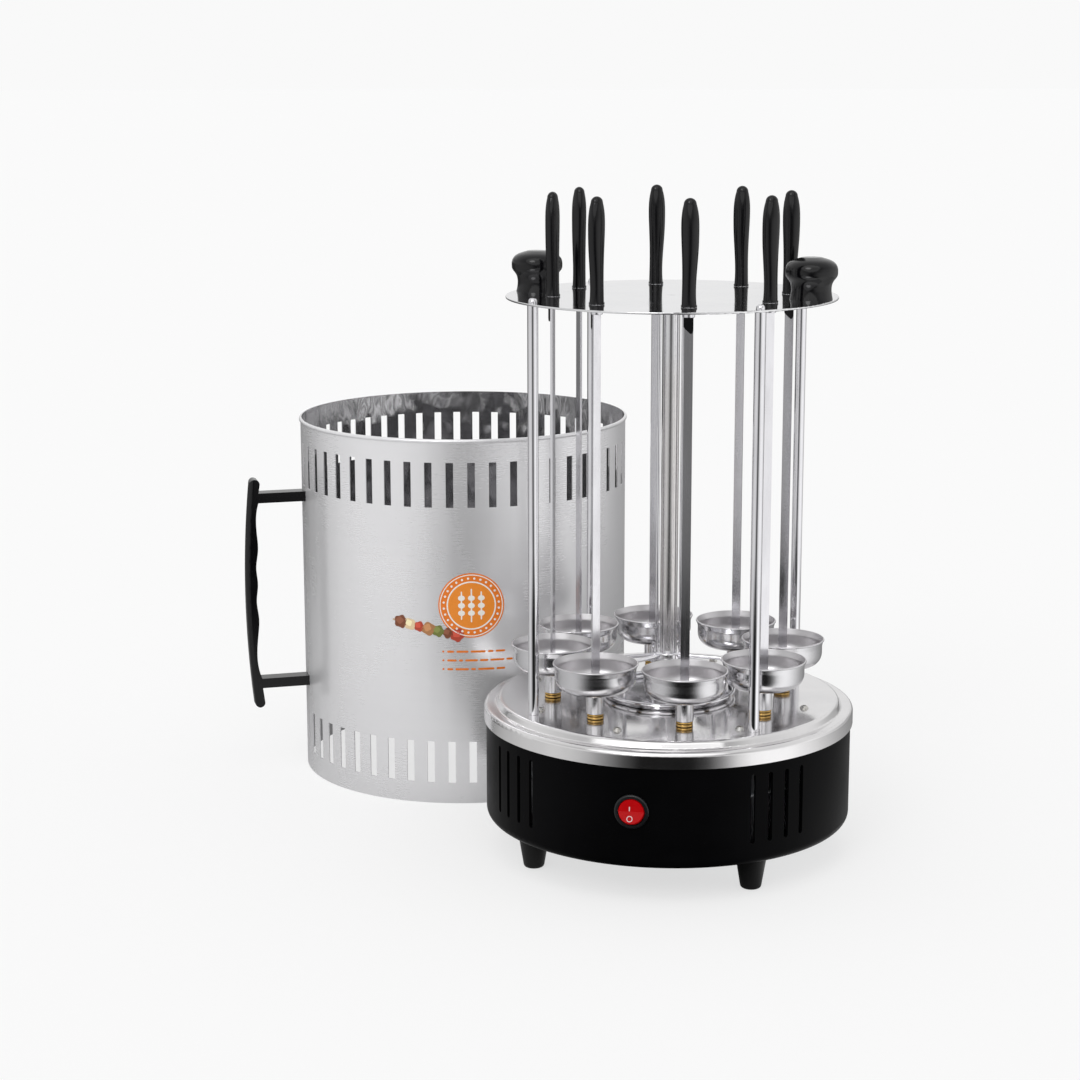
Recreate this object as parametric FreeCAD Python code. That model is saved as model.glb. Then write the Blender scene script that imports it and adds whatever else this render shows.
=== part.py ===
import FreeCAD, Part
import math
import os
from FreeCAD import Placement, Rotation, Vector

# Upright electric skewer grill with its reflector sleeve standing beside it.
# Millimetres, +Z up. The origin is on the grill's own axis, at the floor; the switch side faces -Y.
# Places round the axis are given as a radius and an angle from the front (-Y) towards +X.

# ---------------------------------------------------------------- driving dimensions

# feet, drum and cover
FOOT_HEIGHT = 21.6
FOOT_TOP_RADIUS = 10.4
FOOT_BOTTOM_RADIUS = 6.8
FOOT_EDGE = 2.4
COVER_THICKNESS = 1.5
COVER_INSET = 14.0
COVER_SLOT = 26.0
COVER_SLOT_WIDTH = 4.0
COVER_SLOT_ROWS = ((30.0, 4), (45.0, 6), (60.0, 8))
BASE_HEIGHT = 84.4
DRUM_WALL = 2.2
DRUM_CORNER = 6.0
FLANGE_INSIDE_POSTS = 14.0
VENT_WIDTH = 3.4
VENT_PITCH = 6.0
VENTS_PER_GROUP = 4
VENT_GROUPS = 4
VENT_ANGLE = 35.0
VENT_ABOVE_FLOOR = 15.0
VENT_BELOW_RIM = 7.0

# rim and top plate
PLATE_THICKNESS = 1.2
PLATE_MARGIN = 13.4
PLATE_STEP = 2.6
PLATE_EDGE = 3.2
LEDGE_DROP = 4.6
LEDGE_ROOT = 1.4
LEDGE_WIDTH = 8.1
RIM_HEIGHT = 15.6
RIM_SHOULDER = 3.0

# turning stations
STATIONS = 8
FIRST_STATION_ANGLE = 7.6
CUP_RADIUS = 27.2
CUP_FLARE = 1.2
CUP_FLARE_HEIGHT = 4.2
CUP_FLARE_BEND = 4.0
CUP_GAP = 4.4
CUP_HEIGHT = 18.8
CUP_WALL = 0.7
CUP_CORNER = 9.5
CUP_ABOVE_PLATE = 19.2
CUP_BEAD = 0.55
CUP_BOSS_HEIGHT = 1.2
STEM_RADIUS = 6.15
SHAFT_RADIUS = 3.0
SHAFT_BELOW_DECK = 2.0
SOCKET_DEPTH = 9.5
BUSH_RING_RADIUS = 5.7
BUSH_HEIGHT = 3.4
BUSH_GROOVE = 0.7
BUSH_NECK_RADIUS = 4.4
BUSH_NUT_RADIUS = 6.2
BUSH_NUT = 4.0

# skewers
BLADE_THICKNESS = 1.6
BLADE_POINT = 5.0
BLADE_TIP_WIDTH = 1.2
BLADE_IN_GRIP = 24.0
BLADE_TURNS = (-6.0, 202.0, -11.0, 163.0, 11.0, 120.0, 254.0, 216.0)
GRIP_LIP = 1.2
GRIP_LIP_OVAL = (5.2, 5.0)
GRIP_CROWN = 3.9
TONGUE_THICKNESS = 1.3
TONGUE_LENGTH = 17.6
FERRULE_RADIUS = 3.95
FERRULE_SIDE = 0.85
FERRULE_BELOW_DISC = 5.0

# the grip's ovals: height above its lip, half width, half depth, shift to the side
GRIP_OVALS = (
    (0.0, 4.8, 4.5, 0.0),
    (10.8, 4.5, 4.3, -0.1),
    (22.8, 4.8, 4.4, 0.2),
    (36.8, 5.5, 4.6, 0.4),
    (48.8, 5.8, 4.7, 0.3),
    (58.8, 5.2, 4.3, 0.2),
    (63.8, 4.1, 3.5, 0.1),
)

# posts and top disc
POSTS = 4
POST_RADIUS = 3.6
POST_OUTSIDE_STATIONS = 26.0
FIRST_POST_ANGLE = 31.6
POST_ROD_RADIUS = 3.0
POST_TIP_RADIUS = 2.9
POST_TIP_HEIGHT = 3.2
POST_TIP_DOME = 2.2
SPACER_WALL = 2.4
DISC_ABOVE_PLATE = 275.0
DISC_THICKNESS = 1.4
DISC_MARGIN = 5.3
DISC_EDGE = 0.5
DISC_DIMPLE_RADIUS = 3.0
DISC_DIMPLE = 0.6
KNOB_INSET = 16.6
KNOB_ANGLE = 75.0
KNOB_HEIGHT = 27.6

# the knob's side, from its foot to its crown: radius, height above the disc
KNOB_SIDE = (
    (14.2, 0.0),
    (13.4, 4.0),
    (13.3, 8.0),
    (14.6, 12.0),
    (17.0, 15.5),
    (17.3, 18.0),
    (16.8, 21.5),
    (14.0, 24.8),
    (8.0, 27.0),
)

# heater, its cage and the dish round its foot
HEATER_RADIUS = 6.0
HEATER_BELOW_PLATE = 34.0
HEATER_PIN_RADIUS = 1.3
HEATER_PIN = 9.0
HEATER_PIN_SPREAD = 5.6
HEATER_DOME = 4.0
INSULATOR_FLANGE_RADIUS = 13.0
INSULATOR_FLANGE = 4.0
INSULATOR_BODY_RADIUS = 9.9
INSULATOR_DEPTH = 14.0
DISH_RADIUS = 46.6
DISH_HEIGHT = 5.0
DISH_SHEET = 0.8
DISH_BEAD = 1.3
ARM_ABOVE_PLATE = 28.5
ARM_RADIUS = 1.4
ARM_BEND = 6.0
ARM_INSIDE_DISH = 5.2
ARM_PAIRS = 3
ARM_PAIR_ANGLE = 61.5
ARM_SPREAD = 26.0
CAGE_RADIUS = 10.4
CAGE_WIRE = 1.2
CAGE_COLLAR = 5.0
CAGE_TOP_GAP = 6.0

# gear train
DRIVE_TEETH = 60
PINION_TEETH = 20
MOTOR_TEETH = 16
PRESSURE_ANGLE = 20.0
ADDENDUM = 0.8
DEDENDUM = 1.15
TOOTH_THINNING = 0.22
DECK_THICKNESS = 1.5
DECK_MARGIN = 6.5
DECK_BUSH_NECK_RADIUS = 4.5
DECK_BUSH_RADIUS = 6.5
DECK_BUSH_HEIGHT = 2.0
DECK_BUSH_BELOW = 1.0
DRIVE_GEAR_ABOVE_DECK = 6.0
DRIVE_GEAR_WIDTH = 18.0
DRIVE_GEAR_RIM = 7.0
DRIVE_GEAR_WEB = 3.0
DRIVE_GEAR_WINDOW = 9.0
DRIVE_GEAR_WINDOWS = 6
PINION_WIDTH = 8.0
PINION_HUB_RADIUS = 6.0
PINION_HUB = 3.0
PINION_GROOVE = 2.5
PINION_RIM = 4.5
HUB_BORE_RADIUS = 10.0
HUB_WALL = 3.0
HUB_FLANGE_RADIUS = 22.0
HUB_FLANGE = 2.2
THRUST_RADIUS = 18.0
DRIVE_HUB_WALL = 4.5
MOTOR_ANGLE = 165.1
MOTOR_RADIUS = 25.0
MOTOR_HEIGHT = 19.0
MOTOR_LID = 7.5
MOTOR_LID_STEP = 0.6
MOTOR_SHAFT_RADIUS = 3.5
MOTOR_SHAFT_IN_CAN = 11.5
MOTOR_BOSS_RADIUS = 6.0
MOTOR_BOSS = 1.5
MOTOR_EAR_REACH = 4.0
MOTOR_EAR_WIDTH = 10.0
MOTOR_EAR = 1.2
MOTOR_PLUG_WIDTH = 16.0
MOTOR_PLUG_DEPTH = 6.0
MOTOR_SCREW_LENGTH = 4.5

# small screws
SCREW_RADIUS = 1.5
SCREW_HEAD_RADIUS = 2.9
SCREW_HEAD = 1.9
SCREW_LENGTH = 7.0
SCREW_SLOT = 0.7
SCREW_INSIDE_POSTS = 8.0
SCREW_BESIDE_POST = 3.2
SCREW_OFF_MIDWAY = 6.6

# switch, terminal block and cord inlet
SWITCH_ANGLE = -10.7
SWITCH_BELOW_PLATE = 45.0
SWITCH_BEZEL_RADIUS = 11.5
SWITCH_BEZEL = 2.4
SWITCH_BODY_RADIUS = 9.8
SWITCH_DEPTH = 19.0
SWITCH_TAB_PITCH = 8.0
SWITCH_TAB_WIDTH = 4.8
SWITCH_TAB_THICKNESS = 0.8
SWITCH_TAB = 8.0
SWITCH_NOTCH = 32.0
SWITCH_NOTCH_GAP = 10.0
ROCKER_RADIUS = 8.7
ROCKER_THROW = 22.0
ROCKER_CREST = 2.6
ROCKER_PROUD = 0.6
ROCKER_DEPTH = 5.5
ROCKER_PIN_RADIUS = 1.2
INLET_ANGLE = 180.0
INLET_ABOVE_FLOOR = 20.0
INLET_HOLE_RADIUS = 3.8
INLET_NECK_RADIUS = 5.5
INLET_FLANGE_RADIUS = 8.0
INLET_FLANGE = 2.2
INLET_SEAT = 0.6
TERMINAL_RADIUS = 70.0
TERMINAL_ANGLE = 212.0
TERMINAL_LENGTH = 34.0
TERMINAL_DEPTH = 17.0
TERMINAL_HEIGHT = 15.0
TERMINAL_WELLS = 3
TERMINAL_WELL_RADIUS = 2.6
TERMINAL_MOUTH_RADIUS = 2.2

# sleeve and its handle
SLEEVE_ANGLE = -142.24
SLEEVE_GAP = 5.5
SLEEVE_WALL = 0.8
SLEEVE_HEIGHT = 272.0
SLEEVE_BEAD = 1.5
SLOT_COUNT = 50
SLOT_WIDTH = 5.5
SLOT_ROWS = ((15.5, 31.5), (222.0, 33.0))
HANDLE_ANGLE = -72.0
HANDLE_LOW_Z = 55.8
HANDLE_LENGTH = 169.7
HANDLE_REACH = 46.5
HANDLE_BOW = 4.5
HANDLE_GRIP = 7.5
HANDLE_THICKNESS = 12.0
HANDLE_EDGE = 3.2
HANDLE_ARM = 7.5
HANDLE_ARM_ABOVE_END = 15.2
HANDLE_ARM_BELOW_END = 10.5
FINGER_BUMP = 1.2
FINGER_BUMPS = 3
FINGER_PITCH = 26.0
FINGERS_ABOVE_MIDDLE = 8.0
RIVET_RADIUS = 2.0
RIVET_HEAD_RADIUS = 4.2
RIVET_HEAD = 1.6
RIVET_REACH = 11.0

# clearances
RUNNING = 0.08
LOOSE = 0.3
SLIP = 0.2

# ---------------------------------------------------------------- derived sizes, levels and places

CUP_RIM_RADIUS = CUP_RADIUS + CUP_FLARE
STATION_RADIUS = round((CUP_RIM_RADIUS + CUP_GAP / 2) / math.sin(math.pi / STATIONS), 1)
MODULE = 2 * STATION_RADIUS / (DRIVE_TEETH + PINION_TEETH)
POST_CIRCLE = STATION_RADIUS + POST_OUTSIDE_STATIONS
LEDGE_INNER_RADIUS = POST_CIRCLE + PLATE_MARGIN
RIM_RADIUS = LEDGE_INNER_RADIUS + LEDGE_WIDTH
DRUM_RADIUS = RIM_RADIUS - PLATE_THICKNESS - LOOSE
DRUM_FLANGE_RADIUS = POST_CIRCLE - FLANGE_INSIDE_POSTS
COVER_RADIUS = DRUM_RADIUS - COVER_INSET
DECK_RADIUS = POST_CIRCLE + DECK_MARGIN
DISC_RADIUS = POST_CIRCLE + DISC_MARGIN
KNOB_CIRCLE = DISC_RADIUS - KNOB_INSET
SLEEVE_RADIUS = RIM_RADIUS - RIM_SHOULDER
HUB_RADIUS = HUB_BORE_RADIUS + HUB_WALL
SPACER_RADIUS = POST_ROD_RADIUS + SPACER_WALL

DRUM_BOTTOM_Z = FOOT_HEIGHT + COVER_THICKNESS
DRUM_FLOOR_TOP_Z = DRUM_BOTTOM_Z + DRUM_WALL
PLATE_TOP_Z = DRUM_BOTTOM_Z + BASE_HEIGHT
PLATE_UNDER_Z = PLATE_TOP_Z - PLATE_THICKNESS
LEDGE_Z = PLATE_TOP_Z - LEDGE_DROP
DRUM_TOP_Z = LEDGE_Z - PLATE_THICKNESS
RIM_BOTTOM_Z = PLATE_TOP_Z - RIM_HEIGHT
SPACER_LENGTH = (PLATE_UNDER_Z - DRUM_FLOOR_TOP_Z - DECK_THICKNESS) / 2
DECK_BOTTOM_Z = DRUM_FLOOR_TOP_Z + SPACER_LENGTH
DECK_TOP_Z = DECK_BOTTOM_Z + DECK_THICKNESS
DRIVE_GEAR_Z = DECK_TOP_Z + DRIVE_GEAR_ABOVE_DECK
DRIVE_GEAR_TOP_Z = DRIVE_GEAR_Z + DRIVE_GEAR_WIDTH
PINION_Z = DRIVE_GEAR_TOP_Z - PINION_WIDTH
DISC_BOTTOM_Z = PLATE_TOP_Z + DISC_ABOVE_PLATE
DISC_TOP_Z = DISC_BOTTOM_Z + DISC_THICKNESS
CUP_FLOOR_Z = PLATE_TOP_Z + CUP_ABOVE_PLATE
CUP_RIM_Z = CUP_FLOOR_Z + CUP_HEIGHT
STEM_BOTTOM_Z = PLATE_TOP_Z + BUSH_HEIGHT + LOOSE
SOCKET_TOP_Z = CUP_FLOOR_Z + CUP_WALL + CUP_BOSS_HEIGHT
SOCKET_BOTTOM_Z = SOCKET_TOP_Z - SOCKET_DEPTH
GRIP_BASE_Z = DISC_TOP_Z + SLIP
BLADE_TIP_Z = SOCKET_BOTTOM_Z + LOOSE
BLADE_TOP_Z = GRIP_BASE_Z + BLADE_IN_GRIP
HEATER_FOOT_Z = PLATE_TOP_Z - HEATER_BELOW_PLATE
HEATER_TOP_Z = DISC_BOTTOM_Z - LOOSE
ARM_Z = PLATE_TOP_Z + ARM_ABOVE_PLATE
ARM_REACH = DISH_RADIUS - ARM_INSIDE_DISH
HANDLE_HIGH_Z = HANDLE_LOW_Z + HANDLE_LENGTH
SWITCH_Z = PLATE_TOP_Z - SWITCH_BELOW_PLATE
INLET_Z = DRUM_BOTTOM_Z + INLET_ABOVE_FLOOR
FERRULE_FOOT_Z = DISC_BOTTOM_Z - FERRULE_BELOW_DISC
TONGUE_WIDTH = 2 * (FERRULE_RADIUS - FERRULE_SIDE)
BLADE_WIDTH = TONGUE_WIDTH - 2 * SLIP
DISC_HOLE_RADIUS = FERRULE_RADIUS + LOOSE
STATION_ANGLES = [FIRST_STATION_ANGLE + 360.0 / STATIONS * i for i in range(STATIONS)]
POST_ANGLES = [FIRST_POST_ANGLE + 360.0 / POSTS * i for i in range(POSTS)]
MOTOR_CIRCLE = MODULE * (DRIVE_TEETH + MOTOR_TEETH) / 2
MOTOR_EAR_HOLE = MOTOR_RADIUS + MOTOR_EAR_REACH
SWITCH_FACE = DRUM_RADIUS - SWITCH_BEZEL_RADIUS ** 2 / (2 * DRUM_RADIUS)
ROCKER_PIVOT = SWITCH_FACE + SWITCH_BEZEL - ROCKER_CREST + ROCKER_PROUD

UP = Vector(0, 0, 1)
CENTRE = Vector(0, 0, 0)


# ---------------------------------------------------------------- geometry helpers

def polar(radius, angle, z=0.0):
    """The point at a radius, an angle from the front towards +X, and a height."""
    turn = math.radians(angle)
    return Vector(radius * math.sin(turn), -radius * math.cos(turn), z)


def rod(radius, low, high, at=CENTRE):
    """An upright cylinder between two heights, its axis through a point."""
    return Part.makeCylinder(radius, high - low, Vector(at.x, at.y, low), UP)


def tube(outer, inner, low, high, at=CENTRE):
    """An upright tube between two heights."""
    return rod(outer, low, high, at).cut(rod(inner, low - 1, high + 1, at))


def outline(points):
    """A closed wire in the XZ plane through (x, z, corner radius) points, its corners as tangent arcs."""
    places = [Vector(p[0], 0, p[1]) for p in points]
    radii = [p[2] if len(p) > 2 else 0.0 for p in points]
    starts, ends, arcs = [], [], []
    for i, place in enumerate(places):
        before = (places[i - 1] - place).normalize()
        after = (places[(i + 1) % len(places)] - place).normalize()
        half = before.getAngle(after) / 2
        if radii[i] <= 0 or half > math.pi / 2 - 1e-6:
            starts.append(place)
            ends.append(place)
            arcs.append(None)
            continue
        reach = radii[i] / math.tan(half)
        middle = place + (before + after).normalize() * (radii[i] / math.sin(half) - radii[i])
        starts.append(place + before * reach)
        ends.append(place + after * reach)
        arcs.append(Part.Arc(starts[-1], middle, ends[-1]).toShape())
    edges = []
    for i, arc in enumerate(arcs):
        if arc:
            edges.append(arc)
        following = starts[(i + 1) % len(starts)]
        if ends[i].distanceToPoint(following) > 1e-6:
            edges.append(Part.LineSegment(ends[i], following).toShape())
    return Part.Wire(edges)


def spin(points, at=CENTRE):
    """The solid that a closed profile sweeps round the vertical axis through a point."""
    solid = Part.Face(outline(points)).revolve(CENTRE, UP, 360)
    solid.translate(Vector(at.x, at.y, 0))
    return solid


def beside(path, gap):
    """A path moved sideways by a gap, to the left of its direction, with its corner radii kept parallel."""
    places = [Vector(p[0], 0, p[1]) for p in path]
    radii = [p[2] if len(p) > 2 else 0.0 for p in path]
    runs = [(b - a).normalize() for a, b in zip(places, places[1:])]
    lefts = [Vector(-run.z, 0, run.x) for run in runs]
    moved = [places[0] + lefts[0] * gap]
    kept = [0.0]
    for i in range(1, len(places) - 1):
        bisector = (lefts[i - 1] + lefts[i]).normalize()
        moved.append(places[i] + bisector * (gap / bisector.dot(lefts[i])))
        turns_left = runs[i].dot(lefts[i - 1]) > 0
        kept.append(max(radii[i] + (-gap if turns_left else gap), 0.0) if radii[i] else 0.0)
    moved.append(places[-1] + lefts[-1] * gap)
    kept.append(0.0)
    return [(p.x, p.z, r) for p, r in zip(moved, kept)]


def spun_sheet(path, gap, at=CENTRE):
    """A spun sheet: the path is one face of it and the gap, left of the path, its thickness."""
    return spin(list(path) + beside(path, gap)[::-1], at)


def ring(radius, wire, z, at=CENTRE):
    """A round wire bent into a level circle."""
    return Part.makeTorus(radius, wire, Vector(at.x, at.y, z), UP)


def block(size_x, size_y, low, high):
    """An upright block centred on the vertical axis."""
    return Part.makeBox(size_x, size_y, high - low, Vector(-size_x / 2, -size_y / 2, low))


def placed(shape, at, turn=0.0):
    """A copy of a shape turned about the vertical axis and moved to a point."""
    copy = shape.copy()
    copy.Placement = Placement(at, Rotation(UP, turn)).multiply(copy.Placement)
    return copy


def radial(shape, angle, z):
    """A copy of a shape drawn along +Z, laid so that +Z points outwards at an angle and its X stays level."""
    copy = shape.copy()
    lay = Rotation(Vector(1, 0, 0), 90)
    copy.Placement = Placement(Vector(0, 0, z), Rotation(UP, angle).multiply(lay)).multiply(copy.Placement)
    return copy


def all_round(shape, count, first=0.0):
    """Copies of a shape at even angles about the main axis."""
    return [placed(shape, CENTRE, first + 360.0 / count * i) for i in range(count)]


def extruded(wire, depth):
    """A solid from a wire in the XZ plane, its thickness centred on that plane."""
    solid = Part.Face(wire).extrude(Vector(0, depth, 0))
    solid.translate(Vector(0, -depth / 2, 0))
    return solid


def upright_slot(width, low, high, depth):
    """A flat slot with round ends, standing upright in the XZ plane."""
    half = width / 2
    corner = half * 0.995
    places = [(-half, low, corner), (half, low, corner), (half, high, corner), (-half, high, corner)]
    return extruded(outline(places), depth)


def station_places():
    """The points on the eight stations' axes."""
    return [polar(STATION_RADIUS, angle) for angle in STATION_ANGLES]


def post_places():
    """The points on the four posts' axes."""
    return [polar(POST_CIRCLE, angle) for angle in POST_ANGLES]


def bored(radius, low, high, places):
    """Upright cylinders that cut holes through a sheet at several places."""
    return [rod(radius, low - 1, high + 1, at) for at in places]


def save(name, *solids):
    """Write the node's solids to its own file."""
    shape = solids[0] if len(solids) == 1 else Part.makeCompound(list(solids))
    shape.exportStep(f"parts/{name}.step")


# ---------------------------------------------------------------- gears

def involute(angle):
    """The involute function of an angle in radians."""
    return math.tan(angle) - angle


def toothed(teeth, low, high, first_tooth=0.0):
    """A spur gear blank with involute teeth about the vertical axis.

    The first tooth's centre lies at the given angle from +X, in degrees.
    """
    pitch = MODULE * teeth / 2
    base = pitch * math.cos(math.radians(PRESSURE_ANGLE))
    tip = pitch + ADDENDUM * MODULE
    root = pitch - DEDENDUM * MODULE
    foot = max(base, root)
    half_tooth = math.pi / (2 * teeth) - TOOTH_THINNING / (2 * pitch)

    def half_angle(radius):
        """Half the tooth's thickness at a radius, as an angle."""
        return half_tooth + involute(math.radians(PRESSURE_ANGLE)) - involute(math.acos(base / radius))

    def at(radius, angle):
        return Vector(radius * math.cos(angle), radius * math.sin(angle), low)

    edges = []
    for tooth in range(teeth):
        centre = math.radians(first_tooth) + 2 * math.pi * tooth / teeth
        following = centre + 2 * math.pi / teeth
        middle = (foot + tip) / 2
        edges.append(Part.Arc(at(foot, centre - half_angle(foot)), at(middle, centre - half_angle(middle)),
                              at(tip, centre - half_angle(tip))).toShape())
        edges.append(Part.Arc(at(tip, centre - half_angle(tip)), at(tip, centre),
                              at(tip, centre + half_angle(tip))).toShape())
        edges.append(Part.Arc(at(tip, centre + half_angle(tip)), at(middle, centre + half_angle(middle)),
                              at(foot, centre + half_angle(foot))).toShape())
        rise, fall = centre + half_angle(foot), following - half_angle(foot)
        if foot > root:
            edges.append(Part.LineSegment(at(foot, rise), at(root, rise)).toShape())
        edges.append(Part.Arc(at(root, rise), at(root, (rise + fall) / 2), at(root, fall)).toShape())
        if foot > root:
            edges.append(Part.LineSegment(at(root, fall), at(foot, fall)).toShape())
    return Part.Face(Part.Wire(edges)).extrude(Vector(0, 0, high - low))


def meshed(teeth, angle):
    """The first tooth's angle from +X for a pinion in mesh with the drive gear at an angle round the axis.

    The drive gear has a tooth centred on +X. Its teeth nearest the line of centres and the pinion's gaps
    are as far along the pitch line from it.
    """
    line = angle - 90.0
    drive_pitch = 360.0 / DRIVE_TEETH
    off = (line % drive_pitch) / drive_pitch
    gap = line + 180.0 + off * 360.0 / teeth
    return gap + 180.0 / teeth


# ---------------------------------------------------------------- base

def make_base_shell():
    """The drum: a spun pan with an inward flange, four groups of vents and seats for switch and inlet."""
    low, high = DRUM_BOTTOM_Z, DRUM_TOP_Z
    lip = RIM_SHOULDER - PLATE_THICKNESS + SLIP
    path = [(DRUM_FLANGE_RADIUS, low), (DRUM_RADIUS, low, DRUM_CORNER), (DRUM_RADIUS, high, lip)]
    drum = spun_sheet(path, DRUM_WALL)
    slot = upright_slot(VENT_WIDTH, low + VENT_ABOVE_FLOOR, RIM_BOTTOM_Z - VENT_BELOW_RIM, 4 * DRUM_WALL)
    slot.translate(Vector(0, -DRUM_RADIUS, 0))
    first = VENT_ANGLE - VENT_PITCH * (VENTS_PER_GROUP - 1) / 2
    groups = [first + 360.0 / VENT_GROUPS * group for group in range(VENT_GROUPS)]
    cuts = [placed(slot, CENTRE, start + VENT_PITCH * i) for start in groups for i in range(VENTS_PER_GROUP)]
    cuts += bored(POST_ROD_RADIUS + RUNNING, low, low + DRUM_WALL, post_places())
    for radius, foot, angle, z in (
        (SWITCH_BODY_RADIUS + SLIP, DRUM_RADIUS - 2 * DRUM_WALL, SWITCH_ANGLE, SWITCH_Z),
        (SWITCH_BEZEL_RADIUS + SLIP, SWITCH_FACE, SWITCH_ANGLE, SWITCH_Z),
        (INLET_NECK_RADIUS, DRUM_RADIUS - 2 * DRUM_WALL, INLET_ANGLE, INLET_Z),
    ):
        cuts.append(radial(Part.makeCylinder(radius, 3 * DRUM_WALL, Vector(0, 0, foot)), angle, z))
    save("base_shell", drum.cut(cuts))


def make_cord_inlet():
    """A bush in the rear wall, round the hole for the supply cord."""
    back = DRUM_RADIUS - DRUM_WALL - INLET_FLANGE
    front = DRUM_RADIUS + INLET_FLANGE
    inner = DRUM_RADIUS - DRUM_WALL - INLET_SEAT
    outer = DRUM_RADIUS + RUNNING
    profile = [
        (INLET_HOLE_RADIUS, back, 0.6), (INLET_FLANGE_RADIUS, back, 0.8), (INLET_FLANGE_RADIUS, inner),
        (INLET_NECK_RADIUS, inner), (INLET_NECK_RADIUS, outer), (INLET_FLANGE_RADIUS, outer),
        (INLET_FLANGE_RADIUS - 0.6, front, 0.8), (INLET_HOLE_RADIUS, front, 0.8),
    ]
    save("cord_inlet", radial(spin(profile), INLET_ANGLE, INLET_Z))


def make_bottom_cover():
    """The round sheet under the drum, clamped between the feet and the drum's flange, with vent slots."""
    low, high = FOOT_HEIGHT, DRUM_BOTTOM_Z
    cover = rod(COVER_RADIUS, low, high)
    slot = block(COVER_SLOT, COVER_SLOT_WIDTH, low - 1, high + 1)
    cuts = bored(POST_ROD_RADIUS + RUNNING, low, high, post_places())
    for radius, count in COVER_SLOT_ROWS:
        cuts += [placed(slot, polar(radius, 360.0 / count * i), 360.0 / count * i) for i in range(count)]
    save("bottom_cover", cover.cut(cuts))


def make_feet():
    """Four tapered feet with a round lower edge, on the posts' lower ends."""
    foot = spin([
        (0, 0), (FOOT_BOTTOM_RADIUS, 0, FOOT_EDGE), (FOOT_TOP_RADIUS, FOOT_HEIGHT, 0.6), (0, FOOT_HEIGHT),
    ]).cut(rod(POST_ROD_RADIUS, FOOT_HEIGHT / 2, FOOT_HEIGHT + 1))
    save("feet", *[placed(foot, at) for at in post_places()])


def make_top_plate():
    """The polished pressing: flat plate, round step down to the ledge for the sleeve, shoulder and skirt."""
    path = [
        (INSULATOR_BODY_RADIUS + SLIP, PLATE_TOP_Z),
        (LEDGE_INNER_RADIUS - PLATE_STEP, PLATE_TOP_Z, PLATE_EDGE),
        (LEDGE_INNER_RADIUS, LEDGE_Z, LEDGE_ROOT),
        (RIM_RADIUS, LEDGE_Z, RIM_SHOULDER),
        (RIM_RADIUS, RIM_BOTTOM_Z),
    ]
    plate = spun_sheet(path, -PLATE_THICKNESS)
    low, high = PLATE_UNDER_Z, PLATE_TOP_Z
    cuts = bored(BUSH_NECK_RADIUS, low, high, station_places())
    cuts += bored(POST_ROD_RADIUS + RUNNING, low, high, post_places())
    cuts += bored(SCREW_RADIUS, low, high, plate_screw_places())
    save("top_plate", plate.cut(cuts))


def plate_screw_places():
    """A screw beside each post and one midway between two posts."""
    circle = POST_CIRCLE - SCREW_INSIDE_POSTS
    beside_post = [polar(circle, a - SCREW_BESIDE_POST) for a in POST_ANGLES]
    midway = [polar(circle, a + 180.0 / POSTS - SCREW_OFF_MIDWAY) for a in POST_ANGLES]
    return beside_post + midway


def screw(at, low, up=True, length=SCREW_LENGTH):
    """A domed screw with a cross recess: its head rises from the given height, or hangs below it."""
    side = 1 if up else -1
    head = SCREW_HEAD
    body = spin([
        (0, side * head), (SCREW_HEAD_RADIUS * 0.55, side * head), (SCREW_HEAD_RADIUS, side * head * 0.35),
        (SCREW_HEAD_RADIUS, 0), (SCREW_RADIUS, 0), (SCREW_RADIUS, -side * length, 0.4), (0, -side * length),
    ])
    reach = SCREW_HEAD_RADIUS * 1.1
    blade = block(reach, SCREW_SLOT, *sorted((side * head * 0.45, side * (head + 1))))
    body = body.cut([blade, placed(blade, CENTRE, 90)])
    return placed(body, Vector(at.x, at.y, low), 30)


def make_plate_screws():
    """The small screws in the top plate."""
    save("plate_screws", *[screw(at, PLATE_TOP_Z) for at in plate_screw_places()])


def make_spindle_bushes():
    """Eight brass bushes, each with a low double ring on the plate and a nut below it."""
    bore = SHAFT_RADIUS + RUNNING
    groove = BUSH_RING_RADIUS - BUSH_GROOVE
    low, high = PLATE_TOP_Z, PLATE_TOP_Z + BUSH_HEIGHT
    middle = (low + high) / 2
    nut_low = PLATE_UNDER_Z - BUSH_NUT
    bush = spin([
        (bore, nut_low), (BUSH_NUT_RADIUS, nut_low, 0.4), (BUSH_NUT_RADIUS, PLATE_UNDER_Z),
        (BUSH_NECK_RADIUS, PLATE_UNDER_Z), (BUSH_NECK_RADIUS, low), (BUSH_RING_RADIUS, low, 0.4),
        (BUSH_RING_RADIUS, middle - 0.2, 0.5), (groove, middle, 0.15), (BUSH_RING_RADIUS, middle + 0.2, 0.5),
        (BUSH_RING_RADIUS, high, 0.5), (bore, high),
    ])
    save("spindle_bushes", *[placed(bush, at) for at in station_places()])


def make_posts():
    """Four posts: a thin rod through the base, a shoulder on the plate, and a domed tip above the disc."""
    tip_top = DISC_TOP_Z + POST_TIP_HEIGHT
    post = spin([
        (0, FOOT_HEIGHT / 2), (POST_ROD_RADIUS, FOOT_HEIGHT / 2), (POST_ROD_RADIUS, PLATE_TOP_Z),
        (POST_RADIUS, PLATE_TOP_Z, 0.3), (POST_RADIUS, DISC_BOTTOM_Z, 0.15), (POST_TIP_RADIUS, DISC_BOTTOM_Z),
        (POST_TIP_RADIUS, tip_top, POST_TIP_DOME), (0, tip_top),
    ])
    save("posts", *[placed(post, at) for at in post_places()])


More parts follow.
